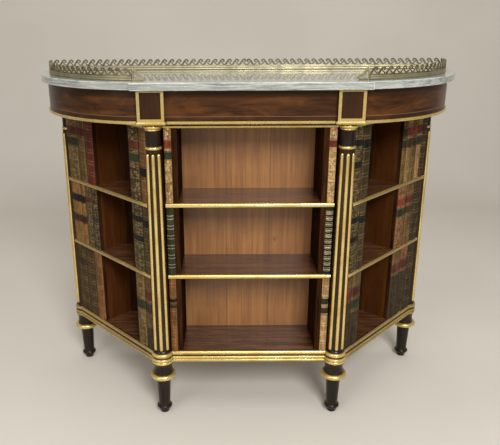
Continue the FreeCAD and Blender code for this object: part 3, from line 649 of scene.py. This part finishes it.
class CABINET_OT_columns(bpy.types.Operator):
    """Turns the four dark columns with their gilt reeds, neck rings and capitals"""
    bl_idname = "cabinet.columns"
    bl_label = "Columns"

    def execute(self, context):
        capitals = bmesh.new()
        rings = bmesh.new()
        rise = SHAFT_HIGH[0] - SHAFT_LOW[0]
        heights = [SHAFT_LOW[0] + rise * i / SHAFT_ROWS for i in range(1, SHAFT_ROWS + 1)]
        outline = [*SHAFT_OUTLINE, *((z, shaft_radius(z)) for z in heights), *NECK_OUTLINE]
        for name in COLUMNS:
            x, y = axis_of(name)
            shaft = bmesh.new()
            turn_on(shaft, x, y, in_metres(outline))
            for face in shaft.faces:
                face.material_index = int(REED_SPAN[0] < face.calc_center_median().z / MM < REED_SPAN[1])
            finishes = (dark_finish(), bole_finish())
            piece("turned_column_" + name, shaft, "cabinet", "dark_wood", ("column_" + name,), *finishes)
            reeds = bmesh.new()
            for turn in REED_TURNS[name]:
                self.reed(reeds, x, y, math.radians(turn), sizes())
            piece("gilt_reeds_" + name, reeds, "cabinet", "gilt", ("column_reeds_" + name,), gilt_finish())
            turn_on(capitals, x, y, in_metres(CAPITAL_OUTLINE))
            turn_on(rings, x, y, in_metres(half_round(*NECK_RING)))
        piece("gilt_capitals", capitals, "cabinet", "gilt", ("column_capitals",), gilt_finish())
        piece("gilt_neck_rings", rings, "cabinet", "gilt", ("column_neck_rings",), gilt_finish())
        return {"FINISHED"}

    def reed(self, mesh, x, y, angle, size, rows=14, sides=12):
        """One round reed lying in the shaft, with a rounded tip at each end."""
        low, high = REED_SPAN
        low_radius = size.reed_low / MM
        high_radius = size.reed_high / MM
        foot = [(low + low_radius * (1 - math.cos(t)), math.sin(t)) for t in REED_TIP]
        middle = [(low + (high - low) * i / rows, 1.0) for i in range(1, rows)]
        head = [(high - high_radius * (1 - math.cos(t)), math.sin(t)) for t in reversed(REED_TIP)]
        rings = []
        for z, fullness in foot + middle + head:
            share = (z - low) / (high - low)
            radius = low_radius + (high_radius - low_radius) * share
            centre = shaft_radius(z) - radius * REED_SUNK
            radius *= fullness
            ring = []
            for k in range(sides):
                turn = 2 * math.pi * k / sides
                out = centre + radius * math.cos(turn)
                across = radius * math.sin(turn)
                px = x + (out * math.cos(angle) - across * math.sin(angle)) * MM
                py = y + (out * math.sin(angle) + across * math.cos(angle)) * MM
                ring.append((px, py, z * MM))
            rings.append(ring)
        loft(mesh, rings)


class CABINET_OT_legs(bpy.types.Operator):
    """Turns the four dark legs and their gilt rings"""
    bl_idname = "cabinet.legs"
    bl_label = "Legs"

    def execute(self, context):
        legs = bmesh.new()
        rings = bmesh.new()
        outline = [*COLLAR_OUTLINE, *SHANK_OUTLINE, *half_round(*TOE_RING), *TOE_OUTLINE]
        ring = [(LEG_RING[0], LEG_RING_BORE), *half_round(*LEG_RING, steps=12), (LEG_RING[1], LEG_RING_BORE)]
        for name in COLUMNS:
            x, y = axis_of(name)
            turn_on(legs, x, y, in_metres(outline))
            turn_on(rings, x, y, in_metres(ring))
        piece("turned_legs", legs, "cabinet", "dark_wood", ("legs",), dark_finish())
        piece("gilt_leg_rings", rings, "cabinet", "gilt", ("leg_rings",), gilt_finish())
        return {"FINISHED"}


# Base mouldings: the offsets of the front, the sides and the ears from the column axes, the moulding's
# thickness and how deep its round swells, with the share that is left of it between two rounds

BASE_OFFSETS = (0.008, 0.0235, 0.0295)
BAND_THICKNESS = 0.0075
BAND_SWELL = 0.0042
TWIN_SHARE = 0.55
# How strongly painted shade darkens the gilding on the canted sides.
CANT_SHADE = 0.6


def base_path(front, side, ear, steps=14):
    """Plan points round the base: front and side runs at their offsets, and a round ear at each column."""
    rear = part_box("base_board")[1].y
    front_reach = math.sqrt(ear * ear - front * front)
    side_reach = math.sqrt(ear * ear - side * side)
    points = []
    for name, sign in SIDES:
        cant = Cant(name, sign)
        back = cant.point(cant.length, 0.0)
        rear_reach = math.sqrt(max(ear * ear - (rear - back[1]) ** 2, 0.0))
        arcs = [
            (back, (back[0] + sign * rear_reach, rear), cant.point(cant.length - side_reach, side)),
            ((cant.x, cant.y), cant.point(side_reach, side), (cant.x - sign * front_reach, cant.y - front)),
        ]
        if sign > 0:
            arcs = [(centre, end, start) for centre, start, end in reversed(arcs)]
        for (x, y), start, end in arcs:
            first = math.atan2(start[1] - y, start[0] - x)
            sweep = (math.atan2(end[1] - y, end[0] - x) - first) % (2 * math.pi)
            for i in range(steps + 1):
                angle = first + sweep * i / steps
                points.append((x + ear * math.cos(angle), y + ear * math.sin(angle)))
    return points


class CABINET_OT_base(bpy.types.Operator):
    """Finishes the base and runs its two gilt mouldings round the front and the ears"""
    bl_idname = "cabinet.base"
    bl_label = "Base"

    def execute(self, context):
        dress(shelf_finish(), "base_board")
        for node, rounds in (("base_band_upper", 1), ("base_band_lower", 2)):
            low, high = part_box(node)
            swell = BAND_SWELL * (1.0 if rounds == 1 else TWIN_SHARE)
            height = (high.z - low.z) / rounds
            section = [(low.z, BAND_THICKNESS)]
            for k in range(rounds):
                z0 = low.z + k * height
                section += [(z, swell * (1 - full)) for z, full in half_round(z0, z0 + height, 0, 1, steps=8)]
            section.append((high.z, BAND_THICKNESS))
            rows = []
            for z, inset in section:
                rows.append([(x, y, z) for x, y in base_path(*(offset - inset for offset in BASE_OFFSETS))])
            mesh = bmesh.new()
            loft(mesh, list(zip(*rows)))
            # The canted runs of the gilding carry painted shade.
            piece("gilt_" + node, mesh, "cabinet", "gilt", (node,), gilt_finish(CANT_SHADE))
        return {"FINISHED"}


# Boards, frieze and marble

# A shelf strip's round face as millimetres outward and shares of its height
STRIP_SECTION = (
    (0.0, 0.0), (2.4, 0.03), (4.0, 0.16), (4.8, 0.34), (5.0, 0.5), (4.8, 0.66), (4.0, 0.84), (2.4, 0.97),
    (0.0, 1.0),
)


class CABINET_OT_boards(bpy.types.Operator):
    """Finishes the shelves, walls and planked backs, and rounds the gilt strips on the shelf edges"""
    bl_idname = "cabinet.boards"
    bl_label = "Shelves and backs"

    def execute(self, context):
        tint = colours()
        shelves = [
            part + "_shelf_" + level for part in ("centre", "left", "right") for level in ("lower", "upper")
        ]
        dress(shelf_finish(), *shelves, "sub_top", "soffit_board", "carcass_top")
        dress(niche_finish(), "niche_wall_left", "niche_wall_right")
        # Partitions and niche backs get the wood in painted shade.
        dress(shaded_wall_finish(), "niche_back_left", "niche_back_right", "partition_left", "partition_right")
        dress(planks("Back planks", tint.board, tint.board_dark), "centre_back")
        dress(planks("Rear planks", tint.board, tint.board_dark), "rear_back", "frieze_rear_rail")
        dress(gilt_finish(), "cornice_strips")
        strips = bmesh.new()
        for shelf in ("centre_shelf_lower", "centre_shelf_upper"):
            low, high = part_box(shelf)
            cant = Cant("right", 1)
            reach = cant.x - SHAFT_OUTLINE[0][1] * MM
            self.strip(strips, low.z, high.z, -reach, reach, lambda along, out: (along, low.y - out))
            for side, sign in SIDES:
                cant = Cant(side, sign)
                step = cant.y - low.y + sizes().cant_step
                ends = (sizes().panel_reach, cant.length - sizes().panel_reach)
                self.strip(strips, low.z, high.z, *ends, lambda along, out: cant.point(along, step + out))
        # The canted strips get painted shade through the gilding.
        finish = gilt_finish(CANT_SHADE)
        piece("gilt_shelf_strips", strips, "cabinet", "gilt", ("shelf_edge_strips",), finish, angle=60.0)
        return {"FINISHED"}

    def strip(self, mesh, low, high, start, end, to_plan):
        """One strip from end to end, flat behind and round in front."""
        rows = []
        for along in (start, end):
            rows.append([
                (*to_plan(along, out * MM), low + (high - low) * share) for out, share in STRIP_SECTION
            ])
        loft(mesh, rows)


class CABINET_OT_frieze(bpy.types.Operator):
    """Finishes the rosewood frieze, its gilt beads and the framed blocks"""
    bl_idname = "cabinet.frieze"
    bl_label = "Frieze"

    def execute(self, context):
        rosewood = veneer("Rosewood veneer", colours().rosewood, colours().rosewood_dark)
        dress(rosewood, "frieze_centre", "frieze_left", "frieze_right")
        dress(block_finish(), "frieze_block_left", "frieze_block_right")
        dress(gilt_finish(), "block_frames", "frieze_bead_centre", "frieze_bead_left", "frieze_bead_right")
        return {"FINISHED"}


class CABINET_OT_marble(bpy.types.Operator):
    """Finishes the polished marble slab"""
    bl_idname = "cabinet.marble"
    bl_label = "Marble top"

    def execute(self, context):
        dress(streaked_marble("Streaked marble", colours().marble, colours().marble_vein), "marble_top")
        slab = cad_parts["marble_top"]
        ease = slab.modifiers.new("eased_arris", "BEVEL")
        ease.width = sizes().arris
        ease.segments = 3
        ease.limit_method = "ANGLE"
        ease.angle_limit = math.radians(40)
        return {"FINISHED"}


# Gallery

GALLERY_AXIS = (0.209, 0.1965)
GALLERY_RADIUS = 0.338
GALLERY_STEP_X = 0.277
SCROLL_HEIGHT = 0.018
BOW_STEPS = 48
POST_PLACE = 0.003

# Sections and the post as heights and half widths, and the middle lines of one wave, a terminal and its
# foot as places along, heights and half widths, all in millimetres. A wave is drawn on a pitch of 20.
WAVE_DRAWN = 20.0
TERMINAL_HALF = 1.7
FOOT_HALF = 2.1
RAIL_SECTION = (
    (0.0, 2.0), (0.5, 2.25), (2.4, 2.25), (3.8, 2.2), (4.6, 1.7), (5.2, 1.35), (5.8, 1.7), (6.6, 2.1),
    (8.6, 2.15), (9.6, 1.9), (10.0, 1.5),
)
BAND_SECTION = ((0.0, 1.3), (2.4, 1.3), (3.0, 0.9))
CURL_LINE = (
    (0.2, 0.0, 2.9), (2.9, 3.9, 2.6), (5.6, 8.2, 2.4), (8.3, 12.2, 2.3), (11.2, 15.0, 2.2),
    (14.2, 15.8, 2.2), (16.8, 14.6, 2.0), (17.8, 12.4, 1.9), (16.8, 10.3, 1.7), (14.9, 10.2, 1.5),
    (13.9, 11.6, 1.1),
)
LINK_LINE = ((9.0, 10.4, 1.3), (11.4, 7.9, 1.4), (14.2, 5.0, 1.5), (16.9, 2.4, 1.7), (19.6, 0.0, 2.0))
TERMINAL_LINE = (
    (2.0, 25.9, 3.2), (5.5, 25.2, 3.4), (9.0, 21.8, 3.5), (12.5, 16.8, 3.5), (17.0, 12.4, 3.4),
    (22.0, 9.8, 3.1), (26.2, 8.4, 2.8), (28.6, 6.0, 2.5), (27.6, 3.4, 2.2), (25.4, 3.2, 1.9),
    (24.6, 5.0, 1.4),
)
TERMINAL_FOOT = ((1.0, 2.2, 2.2), (12.0, 2.2, 2.2), (25.0, 2.1, 2.0))
TERMINAL_POST = (
    (0.0, 2.9), (4.0, 2.9), (4.6, 1.9), (10.0, 2.3), (15.0, 1.7), (19.0, 1.7), (20.0, 2.7), (21.5, 2.7),
    (22.5, 1.8), (24.0, 2.4), (26.5, 2.7), (28.6, 1.9), (29.6, 0.7),
)


def flowing(points, steps=3):
    """Points along a smooth curve through the given ones."""
    spots = [Vector(point) for point in (points[0], *points, points[-1])]
    line = []
    for before, start, end, after in zip(spots, spots[1:], spots[2:], spots[3:]):
        handles = (start + (end - before) / 6, end - (after - start) / 6)
        line += interpolate_bezier(start, *handles, end, steps + 1)[:-1]
    return line + spots[-1:]


def ribbon(mesh, line, half, foot_z, to_plan, bevel=0.35):
    """A flat bar that follows a line standing on its edge, with its corners eased."""
    rows = []
    for i, spot in enumerate(line):
        ahead = line[min(i + 1, len(line) - 1)] - line[max(i - 1, 0)]
        run = math.hypot(ahead.x, ahead.y)
        side = (-ahead.y / run, ahead.x / run)
        wide = spot.z
        row = []
        for across, out in (
            (wide - bevel, half), (wide, half - bevel), (wide, bevel - half), (wide - bevel, -half),
            (bevel - wide, -half), (-wide, bevel - half), (-wide, half - bevel), (bevel - wide, half),
        ):
            x, y = to_plan((spot.x + side[0] * across) * MM, out * MM)
            row.append((x, y, max(foot_z, foot_z + (spot.y + side[1] * across) * MM)))
        rows.append(row)
    loft(mesh, rows)


def swept(mesh, section, foot_z, spots, to_plan):
    """A moulding of a section, given as heights and half widths, swept along its run."""
    ring = [(wide, z) for z, wide in section] + [(-wide, z) for z, wide in reversed(section)]
    loft(mesh, [[(*to_plan(spot, wide * MM), foot_z + z * MM) for wide, z in ring] for spot in spots])


class CABINET_OT_gallery(bpy.types.Operator):
    """Builds the brass gallery: its beaded rail, pierced running scroll and swept terminals"""
    bl_idname = "cabinet.gallery"
    bl_label = "Gallery"

    def execute(self, context):
        size = sizes()
        low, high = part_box("gallery_rail_back")
        line_y = (low.y + high.y) / 2
        corner = high.x - (high.y - low.y) / 2
        wave_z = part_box("gallery_scroll_back")[1].z - SCROLL_HEIGHT
        start = math.asin((GALLERY_STEP_X - GALLERY_AXIS[0]) / GALLERY_RADIUS)
        arc = GALLERY_RADIUS * (math.acos((GALLERY_AXIS[1] - line_y) / GALLERY_RADIUS) - start)
        curl = flowing(CURL_LINE)
        link = flowing(LINK_LINE, 2)

        def waves(mesh, run, to_plan):
            count = round(run / size.wave_pitch)
            pitch = run / count
            scale = pitch / (WAVE_DRAWN * MM)
            for i in range(count):
                for line in (curl, link):
                    here = lambda along, out: to_plan(i * pitch + along * scale, out)
                    ribbon(mesh, line, size.wave_plate / 2 / MM, wave_z, here)

        def brass(kind, run, mesh, finish):
            name = kind + "_" + run
            piece("brass_" + name, mesh, "top", "brass", ("gallery_" + name,), finish)

        straight = lambda along, out: (along, line_y - out)
        rail = bmesh.new()
        swept(rail, RAIL_SECTION, low.z, (low.x, high.x), straight)
        brass("rail", "back", rail, rail_finish())
        scroll = bmesh.new()
        swept(scroll, BAND_SECTION, high.z, (-corner, corner), straight)
        for _, sign in SIDES:
            waves(scroll, corner, lambda along, out: straight(sign * (corner - along), out))
        brass("scroll", "back", scroll, scroll_finish())
        for side, sign in SIDES:
            def bow(along, out, ahead=0.0):
                """A place round the bow and outward from it, or straight ahead of it."""
                angle = start + along / GALLERY_RADIUS
                reach = GALLERY_RADIUS + out
                x = GALLERY_AXIS[0] + reach * math.sin(angle) - ahead * math.cos(angle)
                return sign * x, GALLERY_AXIS[1] - reach * math.cos(angle) - ahead * math.sin(angle)

            end = lambda along, out: bow(0.0, out, along)
            spots = [arc * i / BOW_STEPS for i in range(BOW_STEPS + 1)]
            rail = bmesh.new()
            swept(rail, RAIL_SECTION, low.z, spots, bow)
            ribbon(rail, flowing(TERMINAL_LINE), TERMINAL_HALF, low.z, end)
            ribbon(rail, flowing(TERMINAL_FOOT), FOOT_HALF, low.z, end)
            post = [(low.z + z, radius) for z, radius in in_metres(TERMINAL_POST)]
            turn_on(rail, *end(POST_PLACE, 0.0), post, 16)
            brass("rail", side, rail, rail_finish())
            scroll = bmesh.new()
            swept(scroll, BAND_SECTION, high.z, spots, bow)
            waves(scroll, arc, bow)
            brass("scroll", side, scroll, scroll_finish())
        return {"FINISHED"}


# False books: hides and labels by name

HIDES = {
    "tan": shade(178, 138, 88),
    "cream": shade(148, 114, 70),
    "ochre": shade(134, 96, 50),
    "drab": shade(106, 80, 43),
    "brown": shade(128, 84, 46),
    "orange brown": shade(102, 68, 38),
    "dark red": shade(98, 42, 27),
    "olive": shade(74, 54, 26),
    "grey olive": shade(76, 60, 33),
    "grey": shade(71, 57, 32),
    "slate": shade(62, 48, 28),
    "green": shade(60, 62, 42),
    "black green": shade(36, 38, 28),
    "red label": shade(120, 54, 34),
    "dull label": shade(90, 46, 31),
    "maroon label": shade(60, 36, 29),
    "green label": shade(50, 51, 34),
    "black label": shade(30, 25, 21),
    "gold line": shade(140, 114, 70),
    "cream line": shade(216, 200, 152),
}

PALE_TOOLED = ("black green", "green", "tan")

DARK_FOOT = dict.fromkeys((2, 3, 4, 5), "slate")

# Each spine: its share of the panel, its hide, its raised bands, its labels by compartment from the
# top, and how strongly it is tooled. Tiers from the bottom, spines from the cabinet's front.
BOOKS = {
    "centre_left": (
        ((1.0, "brown", 11, {3: "black label", 4: "slate"}, 0.0),),
        ((1.0, "green", 6, {}, 0.0),),
        ((1.0, "cream", 6, {1: "red label", 2: "green label"}, 0.9),),
    ),
    "centre_right": (
        ((1.0, "tan", 7, {2: "green label", 3: "slate"}, 0.0),),
        ((1.0, "black green", 11, {}, 0.0),),
        ((1.0, "tan", 6, {1: "red label"}, 0.8),),
    ),
    "inner_left": (
        ((0.45, "drab", 5, {1: "dull label", 2: "slate", 4: "slate", 5: "slate"}, 0.0),
         (0.55, "drab", 5, {2: "green label"}, 0.3)),
        ((0.38, "grey olive", 5, {1: "black label"}, 0.0),
         (0.62, "grey", 6, {1: "black label", 3: "black label"}, 0.3)),
        ((0.4, "orange brown", 5, {1: "brown", 3: "black label"}, 0.0),
         (0.6, "olive", 5, {1: "dull label", 2: "green label"}, 0.5)),
    ),
    "inner_right": (
        ((0.4, "orange brown", 5, {1: "red label", **DARK_FOOT}, 0.0),
         (0.6, "drab", 5, {1: "dull label", **DARK_FOOT, 2: "green label"}, 0.0)),
        ((0.58, "grey", 6, {1: "black label", 3: "black label"}, 0.3),
         (0.42, "grey", 5, {1: "black label"}, 0.0)),
        ((0.5, "grey olive", 6, {1: "black label", 3: "black label"}, 0.3),
         (0.5, "grey", 5, {1: "black label"}, 0.0)),
    ),
    "outer_left": (
        ((0.3, "brown", 5, {}, 0.0), (0.32, "olive", 5, {}, 0.0), (0.38, "olive", 5, {1: "slate"}, 0.0)),
        ((0.22, "slate", 6, {3: "green label"}, 0.3), (0.24, "grey olive", 6, {1: "dull label"}, 0.3),
         (0.16, "ochre", 5, {1: "black label", 3: "maroon label"}, 0.0),
         (0.38, "ochre", 5, {1: "black label", 3: "maroon label"}, 0.0)),
        ((0.3, "dark red", 5, {}, 0.0), (0.27, "drab", 5, {1: "dull label"}, 0.0),
         (0.43, "drab", 5, {1: "dull label", 2: "green label"}, 0.3)),
    ),
    "outer_right": (
        ((0.36, "drab", 5, {1: "dull label", **DARK_FOOT}, 0.0),
         (0.32, "brown", 5, {1: "dull label", **DARK_FOOT}, 0.0),
         (0.32, "slate", 5, {}, 0.0)),
        ((0.36, "brown", 5, {1: "red label", 2: "green label"}, 0.3),
         (0.32, "drab", 5, {1: "dull label", 2: "slate"}, 0.0), (0.32, "slate", 5, {}, 0.0)),
        ((0.17, "drab", 5, {1: "slate", 2: "green label"}, 0.0),
         (0.21, "cream", 5, {1: "red label", 2: "olive"}, 0.0),
         (0.2, "drab", 5, {1: "red label", 2: "slate"}, 0.0),
         (0.2, "cream", 5, {1: "dull label", 2: "green label"}, 0.0), (0.22, "slate", 5, {}, 0.0)),
    ),
}


# A spine's rolled head and foot, its end compartments as a share of the others, the gap beside a band,
# the share of a band that is flat and how fast it rises from the joints
CAP_LIP = 0.002
CAP_END = 0.005
CAP_RISE = 0.6
END_SHARE = 0.95
LINE_GAP = 0.0012
BAND_CREST = 0.45
BAND_SLOPE = 4.0


def spine_rows(low, high, bands, labels, size):
    """Heights up a spine with the rise at each, and the finish of the strip above it."""
    pitch = (high - low) / (bands - 1 + 2 * END_SHARE)
    half = size.band_width / 2
    foot = labels.get(bands, "hide")
    rows = [(low, 0.0, foot), (low + CAP_LIP, CAP_RISE, foot), (low + CAP_END, 0.0, foot)]
    for k in range(bands):
        middle = low + pitch * (k + END_SHARE)
        below = labels.get(bands - k, "hide")
        above = labels.get(bands - k - 1, "hide")
        plain = above == below != "hide"
        line, ground, band = (above, above, above) if plain else ("tooling", "hide", "band")
        rows += [
            (middle - half - LINE_GAP - size.tooling, 0.0, line),
            (middle - half - LINE_GAP, 0.0, below),
            (middle - half, 0.0, ground),
            (middle - half * BAND_CREST, 1.0, band),
            (middle + half * BAND_CREST, 1.0, ground),
            (middle + half, 0.0, above),
            (middle + half + LINE_GAP, 0.0, line),
            (middle + half + LINE_GAP + size.tooling, 0.0, above),
        ]
    rows += [(high - CAP_END, 0.0, "hide"), (high - CAP_LIP, CAP_RISE, "hide"), (high, 0.0, "hide")]
    return rows


def spine_solid(mesh, layer, to_plan, start, end, rows, finishes, size, columns=9):
    """One book's back: a rounded front with raised bands, flat behind, closed all round."""
    rings = []
    for z, rise, _ in rows:
        ring = []
        for i in range(columns + 1):
            share = i / columns
            arch = 1 - (2 * share - 1) ** 2
            out = size.spine_valley + (size.spine_crest - size.spine_valley) * arch
            out += size.band_rise * rise * min(1.0, BAND_SLOPE * arch)
            x, y = to_plan(start + (end - start) * share, out)
            ring.append(mesh.verts.new((x, y, z)))
        for along in (end, start):
            x, y = to_plan(along, -size.spine_back)
            ring.append(mesh.verts.new((x, y, z)))
        rings.append(ring)
    count = columns + 3
    for (z0, _, finish), (z1, _, _), low, high in zip(rows, rows[1:], rings, rings[1:]):
        for i in range(count):
            j = (i + 1) % count
            face = mesh.faces.new((low[i], low[j], high[j], high[i]))
            face.material_index = finishes[finish if i < columns else "edge"]
            a, b = (i / columns, (i + 1) / columns) if i < columns else (0.5, 0.5)
            for loop, spot in zip(face.loops, ((a, z0), (b, z0), (b, z1), (a, z1))):
                loop[layer].uv = spot
    for ring in (rings[0], rings[-1]):
        mesh.faces.new(ring).material_index = finishes["edge"]


class CABINET_OT_spines(bpy.types.Operator):
    """Builds the leather book spines of the six false panels"""
    bl_idname = "cabinet.spines"
    bl_label = "False books"

    def execute(self, context):
        size = sizes()
        levels = [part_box("base_board")[1].z]
        for shelf in ("centre_shelf_lower", "centre_shelf_upper"):
            low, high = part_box(shelf)
            levels += [low.z, high.z]
        levels.append(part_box("carcass_top")[0].z)
        tiers = list(zip(levels[0::2], levels[1::2]))
        for side, sign in SIDES:
            cant = Cant(side, sign)
            for part in ("centre", "inner", "outer"):
                node = "spines_" + part + "_" + side
                low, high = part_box(node)
                if part == "centre":
                    start, end = (low.x, high.x) if sign > 0 else (high.x, low.x)
                    to_plan = lambda along, out: (along, cant.y - out)
                else:
                    back = size.cant_step - size.spine_back
                    if part == "inner":
                        start = size.panel_reach
                        end = (high.y - cant.y + back * abs(cant.ux)) / cant.uy
                    else:
                        near = min(abs(low.x), abs(high.x))
                        start = (near - abs(cant.x) - back * cant.uy) / abs(cant.ux)
                        end = cant.length - size.panel_reach
                    to_plan = lambda along, out: cant.point(along, out + size.cant_step)
                self.panel(node, zip(tiers, BOOKS[part + "_" + side]), start, end, to_plan, size)
        return {"FINISHED"}

    def panel(self, node, filled, start, end, to_plan, size):
        """One panel of spines, tier by tier, with each finish it needs taken up once."""
        mesh = bmesh.new()
        layer = mesh.loops.layers.uv.new("spine")
        materials = []
        places = {}

        def place(name, finish):
            if name not in places:
                places[name] = len(materials)
                materials.append(finish)
            return places[name]

        def skin(name):
            return place(name, leather("Leather " + name, HIDES[name]))

        for (low, high), books in filled:
            here = start
            for share, hide, bands, labels, tooled in books:
                there = here + (end - start) * share
                bound = "%s %.1f" % (hide, tooled)
                finishes = {
                    "hide": place(bound, leather("Leather " + bound, HIDES[hide], tooled)),
                    # The sides, backs and ends of each spine get the wood in painted shade.
                    "edge": place("edge", shaded_wall_finish()),
                    "tooling": skin("cream line" if hide in PALE_TOOLED else "gold line"),
                }
                finishes["band"] = finishes["tooling" if hide == "black green" else "hide"]
                for label in labels.values():
                    finishes[label] = skin(label)
                rows = spine_rows(low, high, bands, labels, size)
                spine_solid(mesh, layer, to_plan, here, there, rows, finishes, size)
                here = there
        piece("book_" + node, mesh, "cabinet", "book_leather", (node,), *materials, angle=50.0)


# Stage: the camera as it was fitted to the photograph, in metres, radians and pixels

CAMERA_PLACE = (-0.0564, -1.5528, 1.0345)
CAMERA_YAW = -0.0023
CAMERA_PITCH = 0.3279
CAMERA_ROLL = 0.0052
CAMERA_FOCAL = 595.4
IMAGE_WIDTH = 500.0
CAMERA_SHIFT = (24.16, -0.64)


class CABINET_OT_stage(bpy.types.Operator):
    """Sets the pale floor, the soft lamps and the camera"""
    bl_idname = "cabinet.stage"
    bl_label = "Stage"

    def execute(self, context):
        scene = context.scene
        scene.view_settings.view_transform = "Standard"
        self.backdrop(scene)
        self.lamps(scene)
        self.camera(scene)
        return {"FINISHED"}

    def backdrop(self, scene):
        """One sheet: the floor, a wide curve and the wall behind."""
        mesh = bmesh.new()
        near, far, radius, top, wide, steps = -4.0, 2.6, 0.9, 5.0, 6.0, 12
        line = [(near, 0.0)]
        for i in range(steps + 1):
            angle = math.pi / 2 * i / steps
            line.append((far - radius + radius * math.sin(angle), radius - radius * math.cos(angle)))
        line.append((far, top))
        rows = [[mesh.verts.new((x, y, z)) for x in (-wide, wide)] for y, z in line]
        for low, high in zip(rows, rows[1:]):
            mesh.faces.new((low[0], low[1], high[1], high[0])).smooth = True
        data = bpy.data.meshes.new("studio_floor")
        mesh.to_mesh(data)
        mesh.free()
        data.materials.append(floor_paint("Pale floor", colours().floor))
        made = bpy.data.objects.new("studio_floor", data)
        scene.collection.objects.link(made)

    def lamps(self, scene):
        world = bpy.data.worlds.new("Studio")
        scene.world = world
        world.use_nodes = True
        back = world.node_tree.nodes["Background"]
        back.inputs["Color"].default_value = (1.0, 0.99, 0.97, 1.0)
        back.inputs["Strength"].default_value = 0.3
        for name, place, aim, power, wide in (
            ("key_lamp", (0.7, -3.1, 2.7), (0.0, 0.0, 0.4), 135.0, 1.3),
            ("fill_lamp", (-2.0, -2.6, 1.8), (0.0, 0.0, 0.45), 26.0, 1.8),
            ("top_lamp", (0.0, -0.4, 3.0), (0.0, 0.0, 0.6), 34.0, 2.2),
        ):
            light = bpy.data.lights.new(name, "AREA")
            light.energy = power
            light.size = wide
            made = bpy.data.objects.new(name, light)
            made.location = place
            made.rotation_euler = (Vector(aim) - Vector(place)).to_track_quat("-Z", "Y").to_euler()
            scene.collection.objects.link(made)

    def camera(self, scene):
        data = bpy.data.cameras.new("camera")
        data.sensor_width = 36.0
        data.lens = CAMERA_FOCAL / IMAGE_WIDTH * data.sensor_width
        data.shift_x = CAMERA_SHIFT[0] / IMAGE_WIDTH
        data.shift_y = CAMERA_SHIFT[1] / IMAGE_WIDTH
        made = bpy.data.objects.new("camera", data)
        made.matrix_world = Matrix.Translation(CAMERA_PLACE)
        for angle, axis in ((-CAMERA_YAW, "Z"), (math.pi / 2 - CAMERA_PITCH, "X"), (-CAMERA_ROLL, "Z")):
            made.matrix_world = made.matrix_world @ Matrix.Rotation(angle, 4, axis)
        scene.collection.objects.link(made)
        scene.camera = made


class CABINET_PT_sidebar(bpy.types.Panel):
    """Lists the cabinet's settings and its steps"""
    bl_label = "Side Cabinet"
    bl_space_type = "VIEW_3D"
    bl_region_type = "UI"
    bl_category = "Cabinet"

    def draw(self, context):
        column = self.layout.column(align=True)
        for step in STEPS:
            column.operator(step.bl_idname)
        for group in (context.scene.cabinet_sizes, context.scene.cabinet_colours):
            part = self.layout.box().column(align=True)
            for key in group.__annotations__:
                part.prop(group, key)


STEPS = (
    CABINET_OT_marble, CABINET_OT_gallery, CABINET_OT_frieze, CABINET_OT_columns, CABINET_OT_legs,
    CABINET_OT_base, CABINET_OT_boards, CABINET_OT_spines, CABINET_OT_stage,
)
CLASSES = (CabinetSizes, CabinetColours) + STEPS + (CABINET_PT_sidebar,)


def register():
    for made in CLASSES:
        bpy.utils.register_class(made)
    bpy.types.Scene.cabinet_sizes = PointerProperty(type=CabinetSizes)
    bpy.types.Scene.cabinet_colours = PointerProperty(type=CabinetColours)


def unregister():
    del bpy.types.Scene.cabinet_colours
    del bpy.types.Scene.cabinet_sizes
    for made in reversed(CLASSES):
        bpy.utils.unregister_class(made)


def main():
    register()
    bpy.ops.cabinet.marble()
    bpy.ops.cabinet.gallery()
    bpy.ops.cabinet.frieze()
    bpy.ops.cabinet.columns()
    bpy.ops.cabinet.legs()
    bpy.ops.cabinet.base()
    bpy.ops.cabinet.boards()
    bpy.ops.cabinet.spines()
    bpy.ops.cabinet.stage()


if __name__ == "__main__":
    main()
